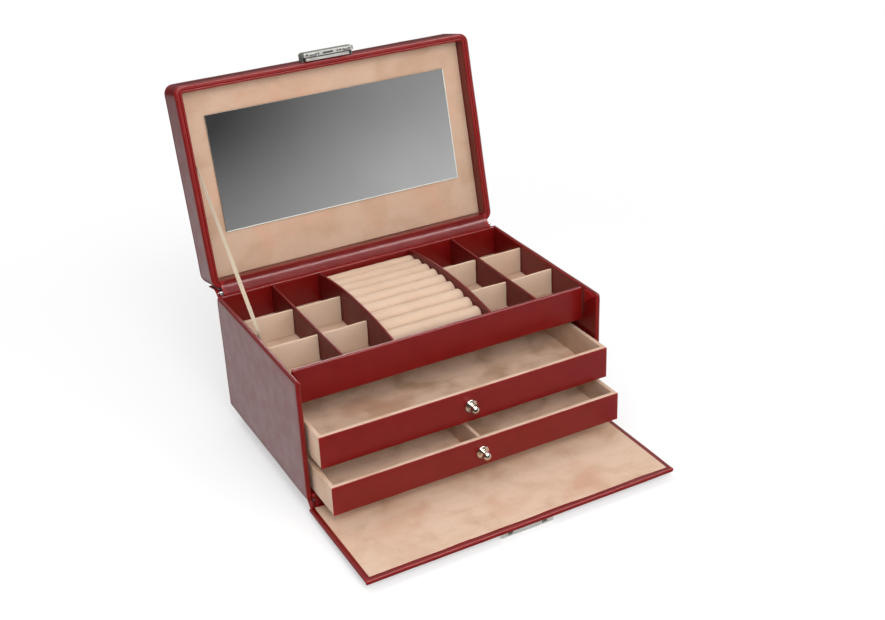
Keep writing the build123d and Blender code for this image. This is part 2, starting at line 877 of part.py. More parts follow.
def make_right_latch_spring():
    length = bar_end_x - stop_x - 2 * spring_wire - 0.3
    path = Helix(pitch=length / 6, height=length, radius=spring_radius)
    profile = Plane(origin=path @ 0, z_dir=path % 0) * Circle(spring_wire)
    coil = sweep(profile, path=path, is_frenet=True)
    height = (button_z[1] - 3.0 + notch_z[1]) / 2
    start_x = stop_x + spring_wire + 0.15
    place = Pos(start_x, (hook_y[0] + hook_y[1]) / 2 + 0.1, height) * Rot(0, 90, 0)
    return place * coil


# ---------------------------------------------------------------- hasp on the lid, drawn closed
hasp_z = (lock_z[1] + 0.5, lock_z[1] + 12.0)
hasp_overhang_y = flap_outer_y - 1.4


def make_hasp_cover():
    face = lock_case_y[0]
    low, high = hasp_z
    cover = block(span(lock_half_width), (face, lid_front), hasp_z)
    cover = chamfer(cover.edges().group_by(Axis.Y)[0], 1.6)
    room = block(span(lock_half_width - 1.2), (face + 1.0, lid_front + 1), (low - 1, high - 1.0))
    bottom = block(span(lock_half_width), (face + 0.6, hasp_overhang_y), (low, low + 0.8))
    relief_y = (hasp_overhang_y, lid_front + 1)
    relief = block(span(lock_half_width + 1), relief_y, (low - 1, mouth_z + 0.4))
    cover = cover - room + bottom - relief
    slot_middle = (hook_x[0] + hook_x[1]) / 2
    slot_x = (slot_middle - 2.3, slot_middle + 2.3)
    slot = block(slot_x, (hook_y[0] - 0.3, hook_y[1] + 0.3), (low - 1, low + 2))
    for cut in mirror_pair(slot):
        cover = cover - cut
    return cover


def make_hasp_hooks():
    """One plate with two notched tongues that drop into the lock's slots."""
    plate = block(span(22.0), hook_y, (mouth_z + 0.6, hasp_z[1] - 1.4))
    tongue = block(hook_x, hook_y, (hook_tip_z, mouth_z + 1.0))
    notch_x = (hook_x[0] - 1, hook_x[0] + 1.45)
    notch = block(notch_x, (hook_y[0] - 1, hook_y[1] + 1), notch_z)
    for part in mirror_pair(tongue - notch):
        plate = plate + part
    for place in hasp_screw_places:
        plate = plate - rod(place, hasp_screw_radius + clearance, hook_y[0] - 1, hook_y[1] + 1, "y")
    return plate


def make_hasp_screws():
    screws = []
    inner_face = lid_front + skin + board
    for place in hasp_screw_places:
        head = rod(place, 2.2, inner_face, inner_face + 1.3, "y")
        shank = rod(place, hasp_screw_radius, hook_y[0], inner_face + 0.5, "y")
        collar = rod(place, 2.1, hook_y[1], lid_front, "y")
        screws.append(head + shank + collar)
    return group(screws)


# ---------------------------------------------------------------- stay ribbon, drawn open
ribbon_x = -inner_frame_x + 0.1
ribbon_width = 4.0
ribbon_low = (5.5, top_of_body - 14.0)
ribbon_rim = (5.5, top_of_body - 0.5)
ribbon_high = swung((-21.8, mouth_z + 1.6))


def make_stay_ribbon():
    """The cloth ribbon that holds the lid back, on the left side only."""
    face = sheet([ribbon_low, ribbon_rim, ribbon_high], ribbon_width)
    corners = [(ribbon_x, y, z) for y, z in face]
    return extrude(make_face(Polyline(*corners, close=True)), amount=0.5, dir=(1, 0, 0))


# ---------------------------------------------------------------- assembly
nodes = {
    "base_board": make_base_board(),
    "side_boards": make_side_boards(),
    "back_board": make_back_board(),
    "case_leather": make_case_leather(),
    "case_lining": make_case_lining(),
    "drawer_shelf": make_drawer_shelf(),
    "drawer_runners": make_drawer_runners(),
    "feet": make_feet(),
    "foot_screws": make_foot_screws(),
    "tray_shelf": make_tray_shelf(),
    "tray_front": make_tray_front(),
    "tray_lining": make_tray_lining(),
    "straight_dividers": make_straight_dividers(),
    "arched_dividers": make_arched_dividers(),
    "tray_partitions": make_partitions(),
    "ring_rolls": make_ring_rolls(),
    "lid_hinge_case_leaf": make_lid_hinge_leaf(lid_side=False),
    "flap_hinge_case_leaf": make_flap_hinge_case_leaf(),
    "hinge_pins": make_hinge_pins(),
    "outer_hinge_strip": make_outer_hinge_strip(),
    "inner_hinge_strip": make_inner_hinge_strip(),
    "flap_hinge_strip": make_flap_hinge_strip(),
    "stay_ribbon": make_stay_ribbon(),
    "lid_walls": open_lid(make_lid_walls()),
    "lid_top_board": open_lid(make_lid_top_board()),
    "lid_leather": open_lid(make_lid_leather()),
    "lid_padding": open_lid(make_lid_padding()),
    "lid_inner_frame": open_lid(make_lid_inner_frame()),
    "lid_lining": open_lid(make_lid_lining()),
    "lid_mirror": open_lid(make_lid_mirror()),
    "lid_hinge_lid_leaf": open_lid(make_lid_hinge_leaf(lid_side=True)),
    "hasp_cover": open_lid(make_hasp_cover()),
    "hasp_hooks": open_lid(make_hasp_hooks()),
    "hasp_screws": open_lid(make_hasp_screws()),
    "handle_posts": open_lid(make_handle_posts()),
    "handle_screws": open_lid(make_handle_screws()),
    "handle_strap": open_lid(make_handle_strap()),
    "flap_board": open_flap(make_flap_board()),
    "flap_leather": open_flap(make_flap_leather()),
    "flap_lining": open_flap(make_flap_lining()),
    "flap_hinge_flap_leaf": open_flap(make_flap_hinge_flap_leaf()),
    "lock_base_plate": open_flap(make_lock_base_plate()),
    "lock_case": open_flap(make_lock_case()),
    "lock_screws": open_flap(make_lock_screws()),
    "key_cylinder": open_flap(make_key_cylinder()),
    "right_button": open_flap(make_right_button()),
    "left_button": open_flap(make_right_button().mirror(Plane.YZ)),
    "right_latch_spring": open_flap(make_right_latch_spring()),
    "left_latch_spring": open_flap(make_right_latch_spring().mirror(Plane.YZ)),
}
for name, z, opened in (
    ("upper", upper_drawer_z, upper_drawer_open),
    ("lower", lower_drawer_z, lower_drawer_open),
):
    nodes[name + "_drawer_front"] = make_drawer_front(z, opened)
    nodes[name + "_drawer_box"] = make_drawer_box(z, opened)
    nodes[name + "_drawer_lining"] = make_drawer_lining(z, opened)
    nodes[name + "_knob"] = make_knob(z, opened)
    nodes[name + "_knob_screw"] = make_knob_screw(z, opened)
nodes["lower_drawer_divider"] = make_drawer_divider(lower_drawer_z, lower_drawer_open)

os.makedirs("parts", exist_ok=True)
centring = Pos(0, centring_y, 0)
for name, shape in nodes.items():
    placed = group([centring * solid for solid in shape.solids()])
    export_step(placed, f"parts/{name}.step")
print(len(nodes), "nodes written")
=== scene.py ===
import json
import math

import bmesh
import bpy
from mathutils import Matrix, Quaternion, Vector, noise


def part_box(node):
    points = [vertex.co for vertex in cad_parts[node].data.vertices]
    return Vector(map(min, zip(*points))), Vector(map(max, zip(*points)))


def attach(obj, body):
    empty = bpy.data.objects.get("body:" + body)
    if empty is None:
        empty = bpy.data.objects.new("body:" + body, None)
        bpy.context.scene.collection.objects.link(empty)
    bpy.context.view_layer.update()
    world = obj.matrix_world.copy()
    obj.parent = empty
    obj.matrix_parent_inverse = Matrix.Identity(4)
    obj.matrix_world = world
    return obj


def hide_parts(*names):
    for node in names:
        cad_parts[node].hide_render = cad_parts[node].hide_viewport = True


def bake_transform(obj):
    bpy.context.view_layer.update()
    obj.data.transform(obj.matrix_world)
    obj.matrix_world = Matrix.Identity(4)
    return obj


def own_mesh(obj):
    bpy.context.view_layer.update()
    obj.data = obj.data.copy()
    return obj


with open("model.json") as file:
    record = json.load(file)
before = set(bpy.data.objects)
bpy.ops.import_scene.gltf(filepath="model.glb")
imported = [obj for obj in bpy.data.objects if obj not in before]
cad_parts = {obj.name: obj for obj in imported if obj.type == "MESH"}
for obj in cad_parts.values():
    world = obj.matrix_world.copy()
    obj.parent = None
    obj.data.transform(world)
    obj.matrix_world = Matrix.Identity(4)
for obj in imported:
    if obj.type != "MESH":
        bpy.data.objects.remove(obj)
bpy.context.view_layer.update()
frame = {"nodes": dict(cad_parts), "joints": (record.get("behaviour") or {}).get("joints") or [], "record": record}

# A red leather jewellery case standing open, drawn round the CAD frame. Lengths below are millimetres,
# drawn as in the CAD about the middle of the body, with the lid and the flap closed where they say so.
MM = 0.001
joints = {joint["name"]: joint for joint in frame["joints"]}


def box_mm(node):
    """A CAD node's lowest and highest corner in millimetres, about the middle of the body."""
    low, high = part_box(node)
    shift = Vector((0, SHIFT, 0))
    return low / MM - shift, high / MM - shift


SHIFT = sum(corner.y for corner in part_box("base_board")) / 2 / MM
LID_Y = joints["lid_hinge"]["pos_m"][1] / MM - SHIFT
LID_Z = joints["lid_hinge"]["pos_m"][2] / MM
LID_TURN = -math.radians(joints["lid_hinge"]["range_deg"][1])
FLAP_Y = joints["flap_hinge"]["pos_m"][1] / MM - SHIFT
FLAP_Z = joints["flap_hinge"]["pos_m"][2] / MM
HALF_WIDTH = box_mm("case_leather")[1].x
FRONT, BACK = box_mm("case_leather")[0].y, box_mm("case_leather")[1].y
BOTTOM, TOP = box_mm("case_leather")[0].z, box_mm("case_leather")[1].z
WALL = 4.7
INNER_X = HALF_WIDTH - WALL
INNER_BACK = BACK - WALL


def turn_point(y, z, axis_y, axis_z, angle):
    dy, dz = y - axis_y, z - axis_z
    cos, sin = math.cos(angle), math.sin(angle)
    return axis_y + dy * cos - dz * sin, axis_z + dy * sin + dz * cos


def opened(point, part):
    """A point drawn with its part closed, swung to the open rest pose."""
    x, y, z = point
    if part == "lid":
        y, z = turn_point(y, z, LID_Y, LID_Z, LID_TURN)
    elif part == "flap":
        y, z = turn_point(y, z, FLAP_Y, FLAP_Z, math.pi / 2)
    return Vector((x, y, z))


def to_frame(point, part="case"):
    """A drawn point in millimetres as a place in the frame, in metres."""
    return (opened(point, part) + Vector((0, SHIFT, 0))) * MM


# ---------------------------------------------------------------- shapes, each a list of points and a list of faces
def join(*shapes):
    points, faces = [], []
    for shape_points, shape_faces in shapes:
        start = len(points)
        points += [Vector(p) for p in shape_points]
        faces += [tuple(start + i for i in face) for face in shape_faces]
    return points, faces


def mirror_x(shape):
    points, faces = shape
    return [Vector((-p[0], p[1], p[2])) for p in points], [tuple(reversed(face)) for face in faces]


def both_sides(shape):
    return join(shape, mirror_x(shape))


def loft(rings, caps=True, closed=True):
    """Skins a row of rings that all have the same number of points."""
    count = len(rings[0])
    points = [Vector(p) for ring in rings for p in ring]
    faces = []
    for a in range(len(rings) - 1):
        for b in range(count if closed else count - 1):
            c = (b + 1) % count
            faces.append((a * count + b, a * count + c, (a + 1) * count + c, (a + 1) * count + b))
    if caps:
        faces.append(tuple(reversed(range(count))))
        faces.append(tuple(range((len(rings) - 1) * count, len(rings) * count)))
    return points, faces


def stops(low, high, radius, step, segments):
    """Places along one axis: close together in its two rounded ends and even between them."""
    quarter = math.pi / 4
    ends = [radius - radius * math.tan(quarter * k / segments) for k in range(segments, -1, -1)]
    count = max(1, round((high - low - 2 * radius) / step))
    middle = [low + radius + (high - low - 2 * radius) * k / count for k in range(1, count)]
    return [low + e for e in ends] + middle + [high - e for e in reversed(ends)]


def soft_block(x, y, z, radius, step=6.0, segments=3):
    """A closed block with every edge and corner rounded, in quads fine enough to be shaped."""
    low, high = (x[0], y[0], z[0]), (x[1], y[1], z[1])
    places = [stops(low[a], high[a], radius, step, segments) for a in range(3)]
    last = [len(p) - 1 for p in places]
    index, points, faces = {}, [], []

    def vertex(key):
        if key not in index:
            place = [places[a][key[a]] for a in range(3)]
            core = Vector([min(max(place[a], low[a] + radius), high[a] - radius) for a in range(3)])
            index[key] = len(points)
            points.append(core + (Vector(place) - core).normalized() * radius)
        return index[key]

    for axis in range(3):
        u, v = (axis + 1) % 3, (axis + 2) % 3
        for side in (0, last[axis]):
            for i in range(last[u]):
                for j in range(last[v]):
                    quad = []
                    for di, dj in ((0, 0), (1, 0), (1, 1), (0, 1)):
                        key = [0, 0, 0]
                        key[axis], key[u], key[v] = side, i + di, j + dj
                        quad.append(vertex(tuple(key)))
                    faces.append(tuple(quad))
    return points, faces


def rounded_ring(centre, half_x, half_y, z, radius, nx, ny, nc):
    """A rectangle with rounded corners, as points in order round it."""
    points = []
    straight_x, straight_y = half_x - radius, half_y - radius
    sides = (
        (Vector((-straight_x, -half_y)), Vector((straight_x, -half_y)), nx, (straight_x, -straight_y), -90),
        (Vector((half_x, -straight_y)), Vector((half_x, straight_y)), ny, (straight_x, straight_y), 0),
        (Vector((straight_x, half_y)), Vector((-straight_x, half_y)), nx, (-straight_x, straight_y), 90),
        (Vector((-half_x, straight_y)), Vector((-half_x, -straight_y)), ny, (-straight_x, -straight_y), 180),
    )
    for start, end, count, corner, first in sides:
        points += [start.lerp(end, k / count) for k in range(count + 1)]
        for k in range(1, nc):
            angle = math.radians(first + 90 * k / nc)
            points.append(Vector(corner) + radius * Vector((math.cos(angle), math.sin(angle))))
    return [(centre[0] + p.x, centre[1] + p.y, z) for p in points]


def tub(x, y, section, corner=0.0, step=6.0):
    """A section of (inset, height) places carried round a rectangle, and closed across at both its ends."""
    centre = ((x[0] + x[1]) / 2, (y[0] + y[1]) / 2)
    half_x, half_y = (x[1] - x[0]) / 2, (y[1] - y[0]) / 2
    nx, ny = max(1, round(2 * half_x / step)), max(1, round(2 * half_y / step))
    nc = 6 if corner else 1
    rings = []
    for inset, z in section:
        radius = max(corner - inset, 0.0)
        rings.append(rounded_ring(centre, half_x - inset, half_y - inset, z, radius, nx, ny, nc))
    shapes = [loft(rings, caps=False)]
    for inset, z in (section[0], section[-1]):
        reach_x, reach_y = half_x - inset, half_y - inset
        rows = []
        for j in range(ny + 1):
            y_here = centre[1] - reach_y + 2 * reach_y * j / ny
            rows.append([(centre[0] - reach_x + 2 * reach_x * i / nx, y_here, z) for i in range(nx + 1)])
        shapes.append(loft(rows, caps=False, closed=False))
    return join(*shapes)


def arc(centre, radius, first, last, count):
    """Points on an arc, with angles in degrees."""
    angles = [math.radians(first + (last - first) * k / count) for k in range(count + 1)]
    return [(centre[0] + radius * math.cos(a), centre[1] + radius * math.sin(a)) for a in angles]


def bar(profile, x, end=0.0, step=6.0):
    """A closed (y, z) outline carried along x, with its ends drawn in over a short length."""
    middle = (sum(p[0] for p in profile) / len(profile), sum(p[1] for p in profile) / len(profile))
    size = max(math.dist(p, middle) for p in profile)
    places = []
    for k in range(5 if end else 0):
        angle = math.pi / 2 * k / 5
        places.append((x[0] + end * (1 - math.sin(angle)), None, math.cos(angle)))
    count = max(1, round((x[1] - x[0] - 2 * end) / step))
    stations = []
    for k in range(5 if end else 0):
        angle = math.pi / 2 * k / 5
        stations.append((end * (1 - math.cos(angle)), 1 - end / size * (1 - math.sin(angle))))
    rows = [(x[0] + d, s) for d, s in stations]
    rows += [(x[0] + end + (x[1] - x[0] - 2 * end) * k / count, 1.0) for k in range(count + 1)]
    rows += [(x[1] - d, s) for d, s in reversed(stations)]
    rings = []
    for place, share in rows:
        rings.append([(place, middle[0] + (p[0] - middle[0]) * share, middle[1] + (p[1] - middle[1]) * share) for p in profile])
    return loft(rings)


def smooth_path(path, rounds=3):
    """Cuts the corners of an open path of points, and keeps its two ends."""
    path = [Vector(p) for p in path]
    for _ in range(rounds):
        cut = [path[0]]
        for start, end in zip(path, path[1:]):
            cut += [start.lerp(end, 0.25), start.lerp(end, 0.75)]
        path = cut + [path[-1]]
    return path


def sheet(path, thickness):
    """The outline of a sheet whose middle follows a smoothed path of (y, z) points."""
    path = smooth_path(path)
    left, right = [], []
    for index, here in enumerate(path):
        before, after = path[max(index - 1, 0)], path[min(index + 1, len(path) - 1)]
        along = (after - before).normalized()
        across = Vector((-along.y, along.x)) * thickness / 2
        left.append(tuple(here + across))
        right.append(tuple(here - across))
    return left + right[::-1]


def lathe(profile, centre, axis, segments=48):
    """Turns a profile of (radius, place along the axis) round an axis, x, y or z, through a centre."""
    rings = []
    for radius, along in profile:
        ring = []
        for k in range(segments):
            angle = 2 * math.pi * k / segments
            u, v = max(radius, 1e-4) * math.cos(angle), max(radius, 1e-4) * math.sin(angle)
            ring.append({"x": (along, u, v), "y": (u, along, v), "z": (u, v, along)}[axis])
        rings.append([Vector(p) + Vector(centre) for p in ring])
    return loft(rings)


# ---------------------------------------------------------------- node materials
def node(tree, kind, inputs=None, **settings):
    made = tree.nodes.new(kind)
    for key, value in settings.items():
        setattr(made, key, value)
    for key, value in (inputs or {}).items():
        if isinstance(value, bpy.types.NodeSocket):
            tree.links.new(value, made.inputs[key])
        else:
            made.inputs[key].default_value = value
    return made


def start_material(name):
    made = bpy.data.materials.new(name)
    made.use_nodes = True
    tree = made.node_tree
    tree.nodes.clear()
    surface = node(tree, "ShaderNodeBsdfPrincipled")
    node(tree, "ShaderNodeOutputMaterial", {"Surface": surface.outputs[0]})
    place = node(tree, "ShaderNodeTexCoord").outputs["Object"]
    return made, tree, surface, place


def set_inputs(tree, surface, values):
    for key, value in values.items():
        if isinstance(value, bpy.types.NodeSocket):
            tree.links.new(value, surface.inputs[key])
        else:
            surface.inputs[key].default_value = value


def cloud(tree, place, size_mm, detail=3.0, roughness=0.5, distortion=0.0):
    """Soft noise from 0 to 1 whose patches are about size_mm across."""
    inputs = {"Vector": place, "Scale": 1 / (size_mm * MM), "Detail": detail, "Roughness": roughness, "Distortion": distortion}
    return node(tree, "ShaderNodeTexNoise", inputs).outputs["Fac"]


def spread(tree, value, low, high, to_low=0.0, to_high=1.0):
    inputs = {"Value": value, "From Min": low, "From Max": high, "To Min": to_low, "To Max": to_high}
    return node(tree, "ShaderNodeMapRange", inputs, interpolation_type="SMOOTHSTEP").outputs["Result"]


def blend_colours(tree, share, first, second):
    made = node(tree, "ShaderNodeMix", data_type="RGBA")
    for socket, value in ((made.inputs[0], share), (made.inputs[6], first), (made.inputs[7], second)):
        if isinstance(value, bpy.types.NodeSocket):
            tree.links.new(value, socket)
        else:
            socket.default_value = value if isinstance(value, float) else (*value, 1.0)
    return made.outputs[2]


def bump(tree, height, depth_mm, strength=1.0, under=None):
    inputs = {"Height": height, "Distance": depth_mm * MM, "Strength": strength}
    if under is not None:
        inputs["Normal"] = under
    return node(tree, "ShaderNodeBump", inputs).outputs["Normal"]


def leather(name, colour, gloss=0.32, coat=0.15):
    """Smooth box calf: a fine pebble grain, soft waves from the hand-laid skin, and paler edges that are partly wear
    and partly a painted highlight.
    """
    made, tree, surface, place = start_material(name)
    pebbles = node(tree, "ShaderNodeTexVoronoi", {"Vector": place, "Scale": 1 / (0.9 * MM)}).outputs["Distance"]
    creases = cloud(tree, place, 1.6, detail=4.0, roughness=0.6)
    waves = cloud(tree, place, 34.0, detail=2.0)
    skin = cloud(tree, place, 14.0, detail=4.0, roughness=0.55)
    dark = tuple(c * 0.88 for c in colour)
    tone = blend_colours(tree, spread(tree, skin, 0.32, 0.68), dark, colour)
    # Paler along sharp edges: partly real wear and partly a painted highlight on rounded edges too small to catch one.
    edge = spread(tree, node(tree, "ShaderNodeNewGeometry").outputs["Pointiness"], 0.508, 0.56, 0.0, 0.75)
    wear_and_highlight = (min(1.0, colour[0] * 2.0 + 0.03), colour[1] * 2.2 + 0.004, colour[2] * 2.2 + 0.004)
    tone = blend_colours(tree, edge, tone, wear_and_highlight)
    normal = bump(tree, waves, 0.6, 0.12)
    normal = bump(tree, creases, 0.05, 0.3, normal)
    normal = bump(tree, pebbles, 0.04, 0.25, normal)
    set_inputs(tree, surface, {
        "Base Color": tone,
        "Roughness": spread(tree, skin, 0.3, 0.7, gloss - 0.03, gloss + 0.05),
        "IOR": 1.42,
        "Coat Weight": coat,
        "Coat Roughness": 0.24,
        "Normal": normal,
    })
    return made


def suede(name, pale, dark, pink, mottle=1.0):
    """Napped suede cloth: large brushed patches, a fine nap and a soft sheen. mottle sets how much the patches show."""
    made, tree, surface, place = start_material(name)
    patches = cloud(tree, place, 34.0, detail=3.5, roughness=0.5, distortion=0.3)
    blush = cloud(tree, node(tree, "ShaderNodeVectorMath", {0: place, 1: (0.31, 0.17, 0.05)}).outputs[0], 46.0, detail=2.5)
    strokes = node(tree, "ShaderNodeMapping", {"Vector": place, "Scale": (0.35, 1.0, 1.0), "Rotation": (0, 0, 0.5)})
    brushed = cloud(tree, strokes.outputs[0], 11.0, detail=5.0, roughness=0.62)
    nap = cloud(tree, place, 0.9, detail=4.0, roughness=0.7)
    tone = blend_colours(tree, spread(tree, patches, 0.42, 0.72, 0.0, 0.62 * mottle), pale, dark)
    tone = blend_colours(tree, spread(tree, blush, 0.50, 0.74, 0.0, 0.60 * mottle), tone, pink)
    tone = blend_colours(tree, spread(tree, brushed, 0.40, 0.78, 0.0, 0.26 * mottle), tone, dark)
    tone = blend_colours(tree, spread(tree, nap, 0.3, 0.8, 0.0, 0.18), tone, tuple(c * 0.6 for c in dark))
    normal = bump(tree, brushed, 0.25, 0.25)
    normal = bump(tree, nap, 0.12, 0.6, normal)
    set_inputs(tree, surface, {
        "Base Color": tone,
        "Roughness": 0.93,
        "Specular IOR Level": 0.15,
        "Sheen Weight": 0.12,
        "Sheen Roughness": 0.4,
        "Sheen Tint": (1.0, 0.93, 0.86, 1.0),
        "Normal": normal,
    })
    return made


def metal(name, colour, roughness, brush=(1.0, 1.0, 1.0), strength=0.3, metallic=1.0):
    """Plated metal with fine scratches, drawn out along the direction where brush is small."""
    made, tree, surface, place = start_material(name)
    lines = node(tree, "ShaderNodeMapping", {"Vector": place, "Scale": brush}).outputs[0]
    scratches = cloud(tree, lines, 0.5, detail=5.0, roughness=0.7)
    tarnish = cloud(tree, place, 6.0, detail=4.0)
    tone = blend_colours(tree, spread(tree, tarnish, 0.3, 0.75, 0.0, 0.2), colour, tuple(c * 0.85 for c in colour))
    set_inputs(tree, surface, {
        "Base Color": tone,
        "Metallic": metallic,
        "Roughness": spread(tree, scratches, 0.25, 0.8, roughness * 0.75, roughness * 1.4),
        "Normal": bump(tree, scratches, 0.02, strength),
    })
    return made


def plain(name, colour, other, size_mm, roughness, depth_mm):
    """A matt material mottled between two colours, with a bump of the same grain."""
    made, tree, surface, place = start_material(name)
    grain = cloud(tree, place, size_mm, detail=6.0, roughness=0.65)
    set_inputs(tree, surface, {
        "Base Color": blend_colours(tree, spread(tree, grain, 0.3, 0.7), colour, other),
        "Roughness": roughness,
        "Normal": bump(tree, grain, depth_mm, 0.5),
    })
    return made


def woven(name, colour, other, pitch_mm):
    """A narrow woven tape: cross threads and long threads as two crossed waves."""
    made, tree, surface, place = start_material(name)
    threads = []
    for rotation in (0.0, math.pi / 2):
        turned = node(tree, "ShaderNodeMapping", {"Vector": place, "Rotation": (rotation, 0, 0)}).outputs[0]
        wave = node(tree, "ShaderNodeTexWave", {"Vector": turned, "Scale": 0.3 / (pitch_mm * MM)}, bands_direction="Z")
        threads.append(wave.outputs["Fac"])
    weave = node(tree, "ShaderNodeMath", {0: threads[0], 1: threads[1]}, operation="MAXIMUM").outputs[0]
    set_inputs(tree, surface, {
        "Base Color": blend_colours(tree, weave, other, colour),
        "Roughness": 0.85,
        "Sheen Weight": 0.3,
        "Normal": bump(tree, weave, 0.15, 0.7),
    })
    return made


def mirror_glass(name):
    """Silvered glass with a faint haze in its tone and roughness."""
    made, tree, surface, place = start_material(name)
    haze = cloud(tree, place, 70.0, detail=2.0)
    set_inputs(tree, surface, {
        "Base Color": blend_colours(tree, spread(tree, haze, 0.3, 0.7), (0.88, 0.88, 0.88), (0.83, 0.83, 0.83)),
        "Metallic": 1.0,
        "Roughness": spread(tree, haze, 0.3, 0.8, 0.02, 0.05),
    })
    return made


RED = (0.150, 0.0026, 0.0021)
PALE_SUEDE, DARK_SUEDE, PINK_SUEDE = (0.65, 0.465, 0.350), (0.46, 0.280, 0.175), (0.56, 0.320, 0.215)
# The lid's suede colours are the beige suede painted darker: painted shade on the lid lining.
EVEN_SUEDE, LID_SUEDE_PAINTED_SHADE = (0.60, 0.440, 0.330), (0.51, 0.350, 0.255)
red_leather = leather("red_leather", RED)
inner_leather = leather("inner_red_leather", tuple(c * 0.85 for c in RED), 0.42, 0.0)
suede_cloth = suede("beige_suede", PALE_SUEDE, DARK_SUEDE, PINK_SUEDE)
roll_cloth = suede("beige_suede_even", EVEN_SUEDE, DARK_SUEDE, PINK_SUEDE, 0.35)
lid_cloth_painted_shade = suede("beige_suede_lid_painted_shade", LID_SUEDE_PAINTED_SHADE, tuple(c * 0.85 for c in DARK_SUEDE), PINK_SUEDE, 0.8)
# The drawers' suede is the same cloth painted lighter: painted light inside the shaded drawers.
drawer_cloth_painted_light = suede("beige_suede_painted_light", tuple(c * 1.32 for c in PALE_SUEDE), tuple(c * 1.15 for c in DARK_SUEDE),
                     tuple(c * 1.15 for c in PINK_SUEDE), 1.4)
polished = metal("polished_nickel", (0.74, 0.68, 0.60), 0.10, strength=0.1)
brushed = metal("brushed_nickel", (0.70, 0.68, 0.63), 0.30, brush=(0.06, 1.0, 1.0), metallic=0.72)
bright = metal("satin_nickel", (0.66, 0.65, 0.61), 0.30, brush=(0.06, 1.0, 1.0), metallic=0.6)
# Nickel painted dark for the hasp cover: painted shade for the dark reflections on its faces.
shaded_nickel = metal("nickel_painted_shade", (0.27, 0.28, 0.25), 0.36, brush=(0.06, 1.0, 1.0), metallic=0.85)
steel = metal("plain_steel", (0.52, 0.51, 0.50), 0.33)
board = plain("fibreboard", (0.33, 0.22, 0.14), (0.22, 0.14, 0.085), 1.4, 0.9, 0.1)
dark_wood = plain("stained_wood", (0.055, 0.012, 0.010), (0.03, 0.008, 0.007), 5.0, 0.42, 0.05)
wadding = plain("wadding", (0.80, 0.77, 0.70), (0.68, 0.64, 0.57), 3.0, 0.95, 0.3)
tape = woven("cream_tape", (0.60, 0.49, 0.36), (0.42, 0.33, 0.23), 0.5)
thread = plain("red_thread", (0.36, 0.03, 0.03), (0.24, 0.015, 0.018), 0.8, 0.6, 0.05)
glass = mirror_glass("silvered_mirror")
# A pale matt strip for the mirror's edge: partly its ground edge and partly a painted reflection.
ground_edge_and_reflection = plain("ground_edge_and_painted_reflection", (0.66, 0.67, 0.62), (0.52, 0.54, 0.50), 2.0, 0.3, 0.02)
glass_side = plain("glass_side", (0.20, 0.21, 0.20), (0.14, 0.15, 0.14), 2.0, 0.4, 0.02)
# Near-black pieces laid where openings are: painted shade for the dark inside them.
slot_painted_shade = plain("slot_painted_shade", (0.02, 0.02, 0.022), (0.035, 0.034, 0.034), 1.0, 0.6, 0.02)

by_slot = {
    "red_leather": inner_leather, "suede": suede_cloth, "board": board, "padding": wadding,
    "ribbon": tape, "mirror": glass, "nickel": brushed, "steel": steel,
}


# ---------------------------------------------------------------- making the pieces
def make(name, shape, material, body, part="case", stands_for=(), wobble=0.0, wave=30.0, sharp=38):
    """A closed mesh from a drawn shape. wobble moves its points a little, in waves, as soft skin does."""
    points, faces = shape
    mesh = bpy.data.meshes.new(name)
    placed = []
    for point in points:
        point = Vector(point)
        if wobble:
            point = point + wobble * noise.noise_vector(point / wave)
        placed.append(to_frame(point, part))
    mesh.from_pydata(placed, [], faces)
    work = bmesh.new()
    work.from_mesh(mesh)
    bmesh.ops.remove_doubles(work, verts=work.verts, dist=0.004 * MM)
    bmesh.ops.dissolve_degenerate(work, edges=work.edges, dist=0.001 * MM)
    bmesh.ops.recalc_face_normals(work, faces=work.faces)
    work.to_mesh(mesh)
    work.free()
    for polygon in mesh.polygons:
        polygon.use_smooth = True
    mesh.set_sharp_from_angle(angle=math.radians(sharp))
    mesh.materials.append(material)
    made = bpy.data.objects.new(name, mesh)
    bpy.context.scene.collection.objects.link(made)
    if body:
        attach(made, body)
    if stands_for:
        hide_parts(*stands_for)
    return made


def bend_between(piece):
    """Bakes the piece's place into its points, so it stays where it is drawn; nothing makes it bend as a joint turns.
    """
    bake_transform(piece)


# ---------------------------------------------------------------- case body
def wall_profile(inset, width, z0, z1, top_radius, low_radius):
    """The upright wall's section as (across, height), drawn in by an inset, always with the same points."""
    r_top, r_low = max(top_radius - inset, 0.05), max(low_radius - inset, 0.05)
    u0, u1, v0, v1 = inset, width - inset, z0 + inset, z1 - inset
    loop = arc((u1 - r_top, v1 - r_top), r_top, 0, 90, 5) + arc((u0 + r_top, v1 - r_top), r_top, 90, 180, 5)
    rows = 20
    loop += [(u0, v1 - r_top + (v0 + r_low - v1 + r_top) * k / rows) for k in range(1, rows)]
    loop += arc((u0 + r_low, v0 + r_low), r_low, 180, 270, 4) + arc((u1 - r_low, v0 + r_low), r_low, 270, 360, 4)
    loop += [(u1, v1 - r_top - (v1 - r_top - v0 - r_low) * (1 - k / rows) ** 1.7) for k in range(1, rows)]
    # The skin falls away softly towards the top edge of the outer face.
    return [(u - 0.9 * max(0.0, 1 - (z1 - v) / 7.0) ** 2 if u > width / 2 else u, v) for u, v in loop]


